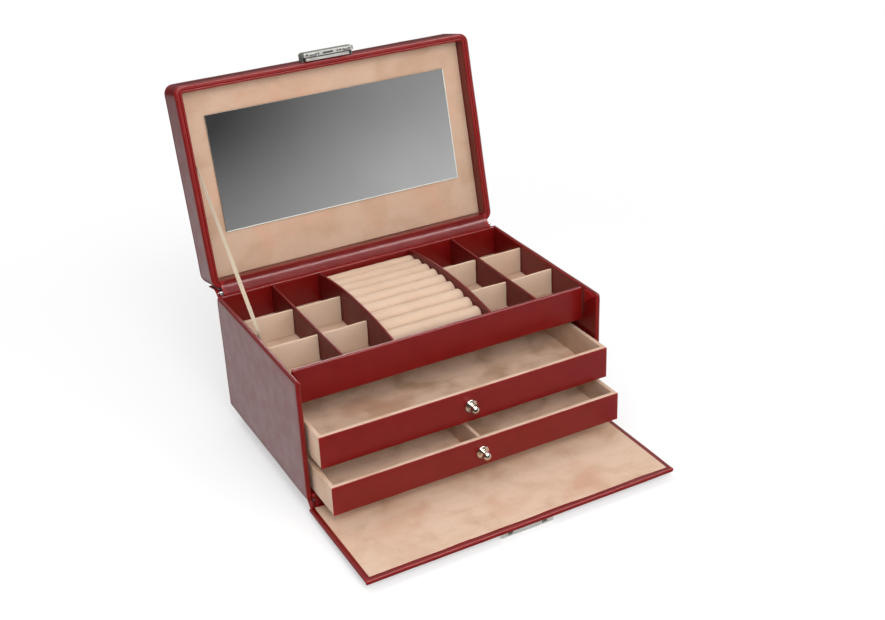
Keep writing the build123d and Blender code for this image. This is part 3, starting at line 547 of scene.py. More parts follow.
def case_wall():
    """Both sides and the back as one leather-covered wall, rounded at its top, its front ends and its two rear corners."""
    end, corner, step = 1.9, 2.2, 5.0
    rings = []

    def side_ring(y, inset, sign):
        profile = wall_profile(inset, WALL, BOTTOM, TOP, 2.2, 0.8)
        fall = 0.55 * max(0.0, 1 - (y - FRONT) / 7.0) ** 2
        return [(sign * (INNER_X + u - (fall if u > WALL / 2 else 0.0)), y, v) for u, v in profile]

    def corner_rings(sign, count=6):
        made = []
        inner = Vector((sign * INNER_X, INNER_BACK))
        middle = Vector((sign * (HALF_WIDTH - corner), BACK - corner))
        for k in range(1, count):
            angle = math.pi / 2 * k / count
            outer = middle + corner * Vector((sign * math.cos(angle), math.sin(angle)))
            profile = wall_profile(0.0, WALL, BOTTOM, TOP, 2.2, 0.8)
            places = [inner.lerp(outer, u / WALL) for u, v in profile]
            made.append([(p.x, p.y, v) for p, (u, v) in zip(places, profile)])
        return made

    ends = [(end * (1 - math.cos(math.pi / 2 * k / 5)), end * (1 - math.sin(math.pi / 2 * k / 5))) for k in range(5)]
    count = round((INNER_BACK - FRONT - end) / step)
    straight = [FRONT + end + (INNER_BACK - FRONT - end) * k / count for k in range(count + 1)]
    straight[1:1] = [FRONT + end + d for d in (1.0, 2.2, 3.5)]
    left = [side_ring(FRONT + d, i, -1) for d, i in ends] + [side_ring(y, 0.0, -1) for y in straight]
    across = round(2 * INNER_X / step)
    profile = wall_profile(0.0, WALL, BOTTOM, TOP, 2.2, 0.8)
    rings = left + corner_rings(-1)
    for k in range(across + 1):
        x = -INNER_X + 2 * INNER_X * k / across
        rings.append([(x, INNER_BACK + u, v) for u, v in profile])
    rings += corner_rings(1)[::-1]
    rings += [[(-x, y, z) for x, y, z in ring] for ring in reversed(left)]
    return loft(rings)


make("case_wall", case_wall(), red_leather, "case", wobble=0.22, wave=38.0,
     stands_for=("case_leather", "side_boards", "back_board", "case_lining"))


def wall_pleats():
    """The mitred fold of leather inside the top front corner of each side wall."""
    outline = [(-93.0, 131.2), (-74.6, 131.2), (-74.6, 117.5), (-77.0, 118.6), (-85.2, 125.6)]
    middle = (sum(p[0] for p in outline) / 5, sum(p[1] for p in outline) / 5)
    rings = []
    for x, share in ((INNER_X + 0.3, 1.0), (INNER_X - 0.25, 1.0), (INNER_X - 0.42, 0.985), (INNER_X - 0.5, 0.955)):
        rings.append([(x, middle[0] + (y - middle[0]) * share, middle[1] + (z - middle[1]) * share) for y, z in outline])
    return both_sides(loft(rings))


make("wall_front_folds", wall_pleats(), red_leather, "case", wobble=0.1, wave=9.0)
base_low, base_high = box_mm("base_board")
make("case_base", soft_block((-INNER_X + 0.05, INNER_X - 0.05), (FRONT, INNER_BACK - 0.05), (BOTTOM, base_high.z), 1.3, 7.0),
     red_leather, "case", stands_for=("base_board",), wobble=0.12)

# ---------------------------------------------------------------- tray
tray_low, tray_high = box_mm("tray_front")
make("tray_front_panel", soft_block((tray_low.x, tray_high.x), (tray_low.y, tray_high.y), (tray_low.z, tray_high.z), 1.7, 5.0, 4),
     red_leather, "case", stands_for=("tray_front",), wobble=0.2)
floor_low, floor_high = box_mm("tray_lining")
make("tray_floor_suede", soft_block((floor_low.x, floor_high.x), (floor_low.y, floor_high.y), (floor_low.z, floor_high.z), 0.5, 5.0, 2),
     suede_cloth, "case", stands_for=("tray_lining",), wobble=0.15, wave=22.0)
for side, sign in (("left", -1), ("right", 1)):
    low, high = box_mm("straight_dividers")
    column = tuple(sorted((sign * high.x, sign * (high.x - 2.4))))
    make(f"straight_divider_{side}", soft_block(column, (low.y, high.y), (low.z, high.z), 1.15, 5.0, 3),
         inner_leather, "case", stands_for=("straight_dividers",), wobble=0.15)
    low, high = box_mm("arched_dividers")
    column = tuple(sorted((sign * high.x, sign * (high.x - 2.4))))
    points, faces = soft_block(column, (low.y, high.y), (low.z, 132.7), 1.15, 4.0, 3)
    middle, reach, rise = (low.y + high.y) / 2, (high.y - low.y) / 2, high.z - 132.7
    arched = []
    for p in points:
        share = (p.z - low.z) / (132.7 - low.z)
        arched.append(Vector((p.x, p.y, p.z + rise * share * (1 - ((p.y - middle) / reach) ** 2))))
    make(f"arched_divider_{side}", (arched, faces), inner_leather, "case",
         stands_for=("arched_dividers",), wobble=0.15)

low, high = box_mm("tray_partitions")
for side, sign in (("left", -1), ("right", 1)):
    for column, x0, x1 in (("outer", 97.5, 145.0), ("inner", 50.0, 94.5)):
        for row, y in (("front", -20.0), ("rear", 37.0)):
            panel = soft_block(tuple(sorted((sign * x0, sign * x1))), (y, y + 2.2), (low.z, high.z), 0.85, 5.0, 3)
            make(f"partition_{side}_{column}_{row}", panel, roll_cloth, "case",
                 stands_for=("tray_partitions",), wobble=0.35, wave=24.0)


# ---------------------------------------------------------------- ring rolls
def roll_outline(y, radius, bottom, top):
    """One roll's section: a foam roll under suede, a little flattened where it is crowned."""
    centre = (y, top - radius * 0.97)
    loop = [(centre[0] + radius * math.cos(a), centre[1] + radius * 0.97 * math.sin(a))
            for a in [math.pi * k / 18 for k in range(19)]]
    down = [(y - radius * (1 - 0.03 * math.sin(math.pi * k / 6)), centre[1] - (centre[1] - bottom) * k / 6) for k in range(1, 7)]
    up = [(2 * y - p[0], p[1]) for p in reversed(down)]
    return loop + down + up


rolls_low, rolls_high = box_mm("ring_rolls")
ROLLS, PITCH = 9, 16.2
first_y = rolls_low.y - 0.05
for index in range(ROLLS):
    y = first_y + (index + 0.5) * PITCH
    middle = first_y + ROLLS * PITCH / 2
    reach = (ROLLS - 1) * PITCH / 2
    top = rolls_high.z - 5.0 * ((y - middle) / reach) ** 2
    outline = roll_outline(y, PITCH / 2 - 0.02, rolls_low.z, top)
    points, faces = bar(outline, (rolls_low.x, rolls_high.x), end=2.6, step=2.5)
    soft = []
    for p in points:
        share = max(0.0, (p.z - rolls_low.z) / (top - rolls_low.z))
        pinch = noise.noise(Vector((p.x / 9.0, y * 3.1, p.z / 9.0)))
        soft.append(Vector((p.x, p.y, p.z + 0.35 * share * pinch)))
    make(f"ring_roll_{index + 1}", (soft, faces), roll_cloth, "case",
         stands_for=("ring_rolls",), wobble=0.22, wave=8.0)


# ---------------------------------------------------------------- drawers
def drawer(which):
    front_low, front_high = box_mm(which + "_drawer_front")
    box_low, box_high = box_mm(which + "_drawer_box")
    lining_low, lining_high = box_mm(which + "_drawer_lining")
    body = which + "_drawer"
    thick, r = lining_low.x - box_low.x, 1.0
    rim, floor = box_high.z, lining_low.z + 0.4
    section = [(0.9, box_low.z)] + [(0.9 - a, b) for a, b in ((0.6, box_low.z + 0.25), (0.9, box_low.z + 0.9))]
    section += [(0.0, box_low.z + (rim - r - box_low.z) * k / 5) for k in range(1, 6)]
    section += [(r - u, rim - r + v) for u, v in arc((0, 0), r, 0, 90, 4)[1:]]
    section += [(thick - r + u, rim - r + v) for u, v in arc((0, 0), r, 90, 0, 4)]
    section += [(thick, rim - r - (rim - r - floor) * k / 4) for k in range(1, 5)]
    box_shape = tub((box_low.x, box_high.x), (box_low.y, box_high.y), section, step=6.0)
    make(which + "_drawer_body", box_shape, suede_cloth, body,
         stands_for=(which + "_drawer_box",), wobble=0.12, wave=30.0)
    # The drawer pad takes the suede painted lighter, as painted light inside the drawer.
    pad = soft_block((lining_low.x + 0.1, lining_high.x - 0.1), (lining_low.y + 0.1, lining_high.y - 0.1),
                     (lining_low.z, lining_high.z + 0.2), 0.45, 5.0, 2)
    make(which + "_drawer_pad", pad, drawer_cloth_painted_light, body,
         stands_for=(which + "_drawer_lining",), wobble=0.25, wave=26.0)
    facing = soft_block((front_low.x, front_high.x), (front_low.y, front_high.y), (front_low.z, front_high.z - 0.15), 0.48, 5.0, 2)
    make(which + "_drawer_facing", facing, red_leather, body,
         stands_for=(which + "_drawer_front",), wobble=0.1, wave=40.0)
    knob_low, knob_high = box_mm(which + "_knob")
    base, tip, middle = knob_high.y, knob_low.y, (knob_low.z + knob_high.z) / 2
    ball = 3.9
    profile = [(0.0, 0.0), (5.5, 0.0), (5.9, -0.15), (6.0, -0.5), (5.95, -0.9), (5.6, -1.2), (5.2, -1.25), (4.9, -1.05), (3.7, -1.0)]
    profile += [(3.55, -1.4), (3.5, -2.2), (3.2, -2.6), (2.5, -2.75), (2.1, -3.1), (1.85, -3.7), (1.85, -4.4)]
    centre = -(base - tip) + ball
    profile += [(ball * math.cos(a), centre + ball * math.sin(a)) for a in [math.radians(58 - 148 * k / 14) for k in range(15)]]
    make(which + "_turned_knob", lathe(profile, (0, base, middle), "y", 56), polished, body,
         stands_for=(which + "_knob",), sharp=50)


drawer("upper")
drawer("lower")
low, high = box_mm("lower_drawer_divider")
make("lower_drawer_partition", soft_block((low.x, high.x), (low.y - 0.1, high.y + 0.1), (low.z - 0.2, high.z), 1.0, 5.0, 3),
     suede_cloth, "lower_drawer", stands_for=("lower_drawer_divider",), wobble=0.15)

# ---------------------------------------------------------------- lid, drawn closed
LID_FRONT = FRONT - 1.0
MOUTH = TOP + 1.0
EDGE = MOUTH + 37.0
RIM = 7.05
CROWN = 5.0
POSTS = ((-68.0, 0.0), (68.0, 0.0))


def crown_height(x, y):
    """The padded top: a soft pillow that is flat in its middle and dips a little under each handle post."""
    middle = (LID_FRONT + BACK) / 2
    shares = []
    for reach in (HALF_WIDTH - abs(x), (BACK - LID_FRONT) / 2 - abs(y - middle)):
        d = min(max((reach - 2.9) / 42.0, 0.0), 1.0)
        shares.append(1 - (1 - d) ** 2.3)
    z = EDGE - 0.5 + (CROWN + 0.5) * shares[0] * shares[1]
    for post_x, post_y in POSTS:
        z -= 0.9 * math.exp(-((x - post_x) ** 2 + (y - post_y) ** 2) / 70.0)
    return z


def lid_shell():
    """The lid as one closed leather form: inner wall, rolled mouth with its seam, outer wall, piping and padded top."""
    section = [(9.3, MOUTH + 15.3), (RIM, MOUTH + 15.3), (RIM, MOUTH + 12.0), (RIM, MOUTH + 8.0), (RIM, MOUTH + 4.5)]
    section += [(RIM - 1.3 + u, MOUTH + 1.4 + v) for u, v in arc((0, 0), 1.3, 0, -90, 4)]
    section += [(5.1, MOUTH + 0.12), (4.75, MOUTH + 0.35), (4.5, MOUTH + 1.0), (4.25, MOUTH + 0.35), (3.9, MOUTH + 0.05)]
    section += [(2.3 + u, MOUTH + 2.3 + v) for u, v in arc((0, 0), 2.3, -90, -180, 6)]
    section += [(0.0, MOUTH + z) for z in (6.0, 11.0, 16.0, 21.0, 26.0, 30.5, 32.8)]
    section += [(0.25, EDGE - 3.5), (0.7, EDGE - 3.2)]
    section += [(1.45 + 1.25 * math.cos(a), EDGE - 1.9 + 1.25 * math.sin(a)) for a in [math.radians(230 - 205 * k / 10) for k in range(11)]]
    section += [(2.9, EDGE - 0.7)]
    section += [(i, EDGE) for i in (3.5, 4.5, 6.0, 8.0, 11.0, 14.0, 18.0, 22.0, 27.0, 32.0, 38.0, 45.0, 52.0)]
    points, faces = tub((-HALF_WIDTH, HALF_WIDTH), (LID_FRONT, BACK), section, corner=9.0, step=5.0)
    shaped = []
    for p in points:
        reach = min(HALF_WIDTH - abs(p.x), p.y - LID_FRONT, BACK - p.y)
        if p.z > EDGE - 0.8 and reach > 2.8:
            p = Vector((p.x, p.y, crown_height(p.x, p.y)))
        shaped.append(p)
    return shaped, faces


make("lid_shell", lid_shell(), red_leather, "lid", "lid", wobble=0.25, wave=34.0,
     stands_for=("lid_leather", "lid_padding", "lid_walls", "lid_top_board", "lid_inner_frame"))
LINING_Z = (TOP + 14.25, TOP + 16.45)
inner_y = (LID_FRONT + RIM + 0.05, BACK - RIM - 0.05)
# The lid lining takes the suede painted darker, as painted shade.
make("lid_lining_panel", soft_block((-HALF_WIDTH + RIM + 0.05, HALF_WIDTH - RIM - 0.05), inner_y, LINING_Z, 0.9, 5.0, 3),
     lid_cloth_painted_shade, "lid", "lid", stands_for=("lid_lining",), wobble=0.12, wave=40.0)

# The mirror is a plate of glass; on the two sides away from the camera a pale matt strip stands for its ground edge and
# carries a painted reflection of the bright things below it.
low, high = Vector((-123.5, -63.7, TOP + 12.25)), Vector((123.5, 46.0, TOP + 14.25))
plate = soft_block((low.x, high.x), (low.y, high.y), (low.z, high.z), 0.12, 30.0, 1)
mirror = make("lid_mirror_glass", plate, glass, "lid", "lid", stands_for=("lid_mirror",), sharp=12)
mirror.data.materials.append(glass_side)
facing = max(mirror.data.polygons, key=lambda polygon: polygon.area).normal.copy()
for polygon in mirror.data.polygons:
    polygon.material_index = 0 if abs(polygon.normal.dot(facing)) > 0.98 else 1
edge_z = (low.z - 0.12, low.z + 1.0)
make("lid_mirror_edge_side", soft_block((high.x - 0.95, high.x + 0.05), (low.y, high.y + 0.05), edge_z, 0.3, 12.0, 2), ground_edge_and_reflection,
     "lid", "lid")
make("lid_mirror_edge_rear", soft_block((low.x, high.x - 0.95), (high.y - 0.95, high.y + 0.05), edge_z, 0.3, 12.0, 2), ground_edge_and_reflection,
     "lid", "lid")

# The hasp's works: a bright striker plate on its mouth, with openings drawn as thin near-black pieces of painted shade,
# and a second plate in its recess.
FACE_Z = MOUTH - 4.0
OUTER_Y, RECESS_Y = (LID_FRONT - 8.1, LID_FRONT - 4.3), (LID_FRONT - 3.4, LID_FRONT - 0.5)
plates = join(soft_block((-24.2, 24.2), OUTER_Y, (FACE_Z, FACE_Z + 0.5), 0.15, 6.0, 2),
              soft_block((-22.0, 22.0), RECESS_Y, (MOUTH - 1.5, MOUTH - 0.6), 0.3, 6.0, 2))
make("hasp_striker_plate", plates, bright, "lid", "lid", sharp=60)
openings = []
for x, half in ((-21.4, 1.2), (-12.2, 0.9), (-9.6, 0.7), (0.0, 5.2), (9.6, 0.7), (12.2, 0.9), (21.4, 1.2)):
    openings.append(soft_block((x - half, x + half), (OUTER_Y[0] + 1.2, OUTER_Y[1] - 1.0), (FACE_Z - 0.07, FACE_Z + 0.2), 0.06, 3.0, 1))
make("hasp_openings", join(*openings), slot_painted_shade, "lid", "lid", sharp=60)

# ---------------------------------------------------------------- handle, drawn with the lid closed
CROWN_Z = EDGE + CROWN
TAB_Z = (CROWN_Z + 4.3, CROWN_Z + 6.8)
ARCH_TOP = CROWN_Z + 38.0


def strap_line():
    """The strap's middle line as (x, z): two flat tabs joined by an arch with soft shoulders."""
    tab = (TAB_Z[0] + TAB_Z[1]) / 2
    foot, end, peak = 59.5, 75.2, ARCH_TOP - 3.4
    rise = peak - tab
    radius = (foot**2 + rise**2) / (2 * rise)
    half = math.asin(foot / radius)
    line = [Vector((-end + 1.0 * k, tab)) for k in range(int(end - foot))]
    steps = 140
    for k in range(steps + 1):
        angle = -half + 2 * half * k / steps
        line.append(Vector((radius * math.sin(angle), peak - radius + radius * math.cos(angle))))
    line += [Vector((-p.x, p.y)) for p in reversed(line[: int(end - foot)])]
    for _ in range(14):
        line = [line[0]] + [(a + b * 2 + c) / 4 for a, b, c in zip(line, line[1:], line[2:])] + [line[-1]]
    return line


def strap_size(x):
    """The strap's width and thickness at a place: thin wide tabs, and a narrower padded grip."""
    t = min(max((abs(x) - 26.0) / 26.0, 0.0), 1.0)
    t = t * t * (3 - 2 * t)
    return 18.5 + 4.5 * t, 6.8 - 4.3 * t


def strap_frame(line, index):
    here = line[index]
    along = (line[min(index + 1, len(line) - 1)] - line[max(index - 1, 0)]).normalized()
    return here, along, Vector((-along.y, along.x))


def strap_top(u, width, thick):
    """How high the padded top stands above the strap's middle line, across its width."""
    flat = width / 2 - 2.9
    dome = math.cos(min(abs(u) / flat, 1.0) * math.pi / 2) ** 0.8 if abs(u) < flat else 0.0
    return -thick / 2 + 2.3 + (thick - 2.3) * dome


def strap():
    line = strap_line()
    rings = []
    total = len(line) - 1
    for index in range(total + 1):
        here, along, out = strap_frame(line, index)
        width, thick = strap_size(here.x)
        reach = min(index, total - index) * 1.0
        if reach < 7.0:
            width = max(2 * math.sqrt(max(11.5**2 - (11.5 * (1 - reach / 7.0)) ** 2, 0.0)) * 0.96, 7.0) if reach < 7.0 else width
        ring = []
        across = 16
        for k in range(across + 1):
            u = -width / 2 + 0.5 + (width - 1.0) * k / across
            ring.append((u, strap_top(u, width, thick)))
        ring += [(width / 2, -thick / 2 + 1.6), (width / 2, -thick / 2 + 0.7)]
        ring += [(width / 2 - 0.5 - (width - 1.0) * k / 8, -thick / 2 - 0.1) for k in range(9)]
        ring += [(-width / 2, -thick / 2 + 0.7), (-width / 2, -thick / 2 + 1.6)]
        rings.append([(here.x + out.x * v, u, here.y + out.y * v) for u, v in ring])
    return loft(rings)


def stitch(start, end, up, radius):
    """One stitch of thread: a short rounded bar that sinks in at both ends."""
    start, end, up = Vector(start), Vector(end), Vector(up).normalized()
    along = (end - start).normalized()
    side = along.cross(up)
    rings = []
    for share, size, lift in ((0.0, 0.35, -0.25), (0.15, 0.9, 0.1), (0.5, 1.0, 0.3), (0.85, 0.9, 0.1), (1.0, 0.35, -0.25)):
        middle = start.lerp(end, share) + up * lift * radius
        rings.append([middle + (side * math.cos(a) + up * math.sin(a)) * radius * size
                      for a in [2 * math.pi * k / 8 for k in range(8)]])
    return loft(rings)


def strap_stitches():
    line = strap_line()
    made = []
    steps = len(line)
    for sign in (-1, 1):
        index = 16
        while index < steps - 19:
            ends = []
            for place in (index, index + 2):
                here, along, out = strap_frame(line, place)
                width, thick = strap_size(here.x)
                v = -thick / 2 + 2.45
                ends.append(Vector((here.x + out.x * v, sign * (width / 2 - 1.7), here.y + out.y * v)))
            made.append(stitch(ends[0], ends[1], (out.x, 0, out.y), 0.34))
            index += 3
    for index in (17, steps - 18):
        here, along, out = strap_frame(line, index)
        width, thick = strap_size(here.x)
        for k in range(6):
            u = -width / 2 + 3.2 + (width - 6.4) * k / 5
            v = -thick / 2 + 2.45 + 0.3
            middle = Vector((here.x + out.x * v, u, here.y + out.y * v))
            made.append(stitch(middle - Vector((0, 1.2, 0)), middle + Vector((0, 1.2, 0)), (out.x, 0, out.y), 0.34))
    return join(*made)


handle = make("handle_strap_leather", strap(), red_leather, "handle", "lid",
              stands_for=("handle_strap",), wobble=0.12, wave=20.0, sharp=60)
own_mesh(handle)
stitches = make("handle_stitching", strap_stitches(), thread, "handle", "lid", sharp=80)
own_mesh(stitches)

for side, (x, y) in zip(("left", "right"), POSTS):
    foot = CROWN_Z - 1.0
    sleeve = [(2.2, foot), (3.3, foot), (3.6, foot + 0.3), (3.6, foot + 1.0), (3.35, foot + 1.3), (3.35, TAB_Z[0] - 0.5), (3.1, TAB_Z[0] - 0.15), (2.2, TAB_Z[0] - 0.1)]
    head = [(2.2, TAB_Z[0]), (2.2, TAB_Z[1] + 0.1), (4.2, TAB_Z[1] + 0.15), (4.65, TAB_Z[1] + 0.45), (4.7, TAB_Z[1] + 1.3),
            (4.45, TAB_Z[1] + 1.9), (3.6, TAB_Z[1] + 2.35), (2.2, TAB_Z[1] + 2.55), (0.0, TAB_Z[1] + 2.6)]
    make(f"handle_post_{side}", lathe([(0.0, foot)] + sleeve + head, (x, y, 0), "z"), polished, "lid", "lid",
         stands_for=("handle_posts",), sharp=50)

# ---------------------------------------------------------------- flap, drawn open
flap_low, flap_high = box_mm("flap_board")
leather_low, leather_high = box_mm("flap_leather")
lining_low, lining_high = box_mm("flap_lining")
FLAP_TOP = lining_high.z
FLAP_UNDER = FLAP_TOP - 3.6
ROLL = 2.2
border = HALF_WIDTH - lining_high.x
panel_front = leather_low.y + ROLL
section = [(border + 0.6, lining_low.z + 0.1), (border, lining_low.z + 0.15), (border - 0.05, FLAP_TOP - 0.35), (border - 0.4, FLAP_TOP)]
section += [(k, FLAP_TOP) for k in (3.4, 2.6)]
section += [(1.75 + u, FLAP_TOP - 1.75 + v) for u, v in arc((0, 0), 1.75, 90, 180, 5)]
section += [(1.75 + u, FLAP_UNDER + 1.75 + v) for u, v in arc((0, 0), 1.75, 180, 270, 5)]
section += [(4.0, FLAP_UNDER)]
make("flap_panel", tub((-HALF_WIDTH, HALF_WIDTH), (panel_front - 1.2, leather_high.y), section, corner=1.5, step=5.0), red_leather, "flap",
     stands_for=("flap_leather", "flap_board"), wobble=0.18, wave=36.0)
make("flap_suede_panel", soft_block((lining_low.x, lining_high.x), (lining_low.y, lining_high.y), (lining_low.z, lining_high.z + 0.05), 0.37, 5.0, 2),
     suede_cloth, "flap", stands_for=("flap_lining",), wobble=0.12, wave=40.0)
bead = (leather_low.y + 1.5, FLAP_TOP - 1.4)
lip = (leather_low.y + 2.0, FLAP_TOP - 3.35)
outline = arc(bead, 1.4, 0, 222, 12) + arc(lip, 1.15, 150, 360, 10) + [(lip[0] + 1.4, bead[1] - 1.2)]
make("flap_front_roll", bar(outline, (-HALF_WIDTH + 0.05, HALF_WIDTH - 0.05), end=1.4, step=4.0), red_leather, "flap",
     wobble=0.14, wave=22.0, sharp=50)

# ---------------------------------------------------------------- leather hinge strips and the stay ribbon
low, high = box_mm("outer_hinge_strip")
outer_face = low.y + 0.42
path = [(outer_face, LID_Z - 26.0), (outer_face, LID_Z - 16.0), (outer_face, LID_Z - 7.0),
        turn_point(outer_face, LID_Z + 7.0, LID_Y, LID_Z, LID_TURN),
        turn_point(outer_face, LID_Z + 16.0, LID_Y, LID_Z, LID_TURN),
        turn_point(outer_face, LID_Z + 26.0, LID_Y, LID_Z, LID_TURN)]
strip = make("outer_hinge_leather", bar(sheet(path, 0.85), (low.x, high.x), step=5.0), red_leather, None,
             stands_for=("outer_hinge_strip",), wobble=0.2, wave=20.0)
bend_between(strip)
low, high = box_mm("inner_hinge_strip")
path = [(INNER_BACK + 0.2, TOP + 0.5), (BACK - 2.0, TOP + 0.5),
        turn_point(BACK - 1.5, MOUTH - 0.5, LID_Y, LID_Z, LID_TURN),
        turn_point(INNER_BACK - 2.2, MOUTH - 0.5, LID_Y, LID_Z, LID_TURN)]
strip = make("inner_hinge_leather", bar(sheet(path, 0.85), (low.x, high.x), step=4.0), red_leather, None,
             stands_for=("inner_hinge_strip",), wobble=0.3, wave=16.0)
bend_between(strip)
low, high = box_mm("flap_hinge_strip")
under = BOTTOM - 1.35
path = [(low.y, low.z + 0.42), (FLAP_Y - 8.0, low.z + 0.42), (FLAP_Y - 1.0, low.z + 0.42),
        (FLAP_Y + 7.5, under), (FLAP_Y + 14.0, under), (high.y, under)]
strip = make("flap_hinge_leather", bar(sheet(path, 0.85), (low.x, high.x), step=5.0), red_leather, None,
             stands_for=("flap_hinge_strip",), wobble=0.15, wave=20.0)
bend_between(strip)
path = [(FRONT + 1.2, BOTTOM - 0.15), (FRONT + 0.9, BOTTOM - 2.0), (FRONT + 0.9, FLAP_TOP + 1.6), (FRONT - 0.2, FLAP_TOP + 0.4), (FRONT - 3.4, FLAP_TOP + 0.3)]
strip = make("flap_inner_leather", bar(sheet(path, 0.5), (-142.5, 142.5), step=5.0), inner_leather, None,
             wobble=0.1, wave=20.0)
bend_between(strip)

low, high = box_mm("stay_ribbon")
ribbon_top = turn_point(-21.8, MOUTH + 1.6, LID_Y, LID_Z, LID_TURN)
path = [(5.5, TOP - 14.0), (5.5, TOP - 0.5), ribbon_top]
middle_line = []
for start, end, count in ((path[0], path[1], 6), (path[1], path[2], 80)):
    middle_line += [Vector(start).lerp(Vector(end), k / count) for k in range(count)]
middle_line.append(Vector(path[2]))
rings = []
for index, here in enumerate(middle_line):
    before, after = middle_line[max(index - 1, 0)], middle_line[min(index + 1, len(middle_line) - 1)]
    along = (after - before).normalized()
    share = max(0.0, min(1.0, (index - 3) / 83))
    twist = math.radians(44) * math.sin(math.pi * share**0.55) ** 0.8 if 0 < share < 1 else 0.0
    across = Vector((math.sin(twist), *(Vector((-along.y, along.x)) * math.cos(twist))))
    face = Vector((1, 0, 0)) * math.cos(twist) - Vector((0, -along.y, along.x)) * math.sin(twist)
    middle = Vector(((low.x + high.x) / 2, *here))
    edge = [(1.0, 0.10), (0.5, 0.22), (-0.5, 0.22), (-1.0, 0.10), (-1.0, -0.10), (-0.5, -0.22), (0.5, -0.22), (1.0, -0.10)]
    rings.append([middle + across * 2.0 * u + face * v for u, v in edge])
ribbon = make("stay_ribbon_tape", loft(rings), tape, None, stands_for=("stay_ribbon",))
bend_between(ribbon)

# ---------------------------------------------------------------- latch springs inside the lock


def coil(start, end, centre, radius, wire, turns):
    """A coil spring along x, as a round wire carried round a helix."""
    rings = []
    count = turns * 16
    for k in range(count + 1):
        angle = 2 * math.pi * turns * k / count
        x = start + (end - start) * k / count
        outward = Vector((0, math.cos(angle), math.sin(angle)))
        middle = Vector((x, *centre)) + outward * (radius - wire)
        rings.append([middle + (outward * math.cos(a) + Vector((1, 0, 0)) * math.sin(a)) * wire
                      for a in [2 * math.pi * j / 8 for j in range(8)]])
    return loft(rings)


for side, sign in (("left", -1), ("right", 1)):
    low, high = box_mm(side + "_latch_spring")
    inner, outer = (high.x, low.x) if sign < 0 else (low.x, high.x)
    radius = min(high.y - low.y, high.z - low.z) / 2
    centre = ((low.y + high.y) / 2, (low.z + high.z) / 2)
    shape = coil(inner + 0.2 * sign, outer - 0.2 * sign, centre, radius, 0.2, 6)
    spring = make(f"{side}_spring_coil", shape, steel, "flap", stands_for=(side + "_latch_spring",), sharp=80)
    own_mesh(spring)

# ---------------------------------------------------------------- feet
for side, x in (("left", -116.0), ("right", 116.0)):
    for end, y in (("front", -56.0), ("rear", 56.0)):
        profile = [(0.0, 6.0), (3.3, 6.0), (3.3, 0.35), (3.7, 0.0), (9.0, 0.0), (9.5, 0.5), (9.7, 2.4), (9.6, 3.2), (9.95, 3.8), (10.0, 4.6), (9.8, 5.2)]
        profile += [(9.9 + 1.0 * (z / 17.4) ** 2, z) for z in (7.0, 9.5, 12.0, 14.5, 16.2)] + [(10.6, 17.2), (0.0, 17.3)]
        make(f"foot_{end}_{side}", lathe(profile, (x, y, 0), "z"), dark_wood, "case", stands_for=("feet",), sharp=50)

# ---------------------------------------------------------------- looks of the carried-over CAD pieces
node_slot = {part["node"]: part["material_slot"] for part in frame["record"]["subparts"]}
# The hasp cover takes the nickel painted dark, as painted shade.
special = {"hasp_cover": shaded_nickel, "lock_case": bright, "lock_base_plate": bright, "key_cylinder": polished, "left_button": polished, "right_button": polished}
for name, piece in frame["nodes"].items():
    look = special.get(name, by_slot[node_slot[name]])
    if not piece.material_slots:
        piece.data.materials.append(look)
    for material_slot in piece.material_slots:
        material_slot.material = look
    if node_slot[name] in ("nickel", "steel", "board", "red_leather") and "spring" not in name and not piece.hide_render:
        edge = piece.modifiers.new("edges", "BEVEL")
        edge.width = 0.22 * MM if node_slot[name] in ("nickel", "steel") else 0.6 * MM
        edge.segments = 2
        edge.limit_method = "ANGLE"
        edge.angle_limit = math.radians(40)
        edge.harden_normals = False

# ---------------------------------------------------------------- floor, light and camera
floor_mesh = bpy.data.meshes.new("floor")
reach = 14.0
floor_mesh.from_pydata([(-reach, -reach, 0), (reach, -reach, 0), (reach, reach, 0), (-reach, reach, 0)], [], [(0, 1, 2, 3)])
floor = bpy.data.objects.new("floor", floor_mesh)
bpy.context.scene.collection.objects.link(floor)
floor_look, tree, surface, place = start_material("pale_floor")
paper = cloud(tree, place, 400.0, detail=2.0)
set_inputs(tree, surface, {
    "Base Color": blend_colours(tree, paper, (0.93, 0.93, 0.93), (0.91, 0.91, 0.91)),
    "Roughness": 0.9,
    "Specular IOR Level": 0.1,
})
# The camera sees the floor fade to plain white away from the case, as on a white sweep.
distance = node(tree, "ShaderNodeVectorMath", {0: place}, operation="LENGTH").outputs["Value"]
fade = spread(tree, distance, 0.30, 0.75, 0.45, 1.0)
seen = node(tree, "ShaderNodeLightPath").outputs["Is Camera Ray"]
share = node(tree, "ShaderNodeMath", {0: fade, 1: seen}, operation="MULTIPLY").outputs[0]
white = node(tree, "ShaderNodeEmission", {"Color": (1, 1, 1, 1), "Strength": 1.0}).outputs[0]
both = node(tree, "ShaderNodeMixShader", {0: share, 1: surface.outputs[0], 2: white}).outputs[0]
tree.links.new(both, next(n for n in tree.nodes if n.type == "OUTPUT_MATERIAL").inputs["Surface"])
floor_mesh.materials.append(floor_look)
floor.visible_glossy = False

world = bpy.data.worlds.new("studio")
bpy.context.scene.world = world
world.use_nodes = True
tree = world.node_tree
tree.nodes.clear()
direction = node(tree, "ShaderNodeSeparateXYZ", {0: node(tree, "ShaderNodeTexCoord").outputs["Generated"]}).outputs


def math_node(operation, first, second):
    return node(tree, "ShaderNodeMath", {0: first, 1: second}, operation=operation).outputs[0]


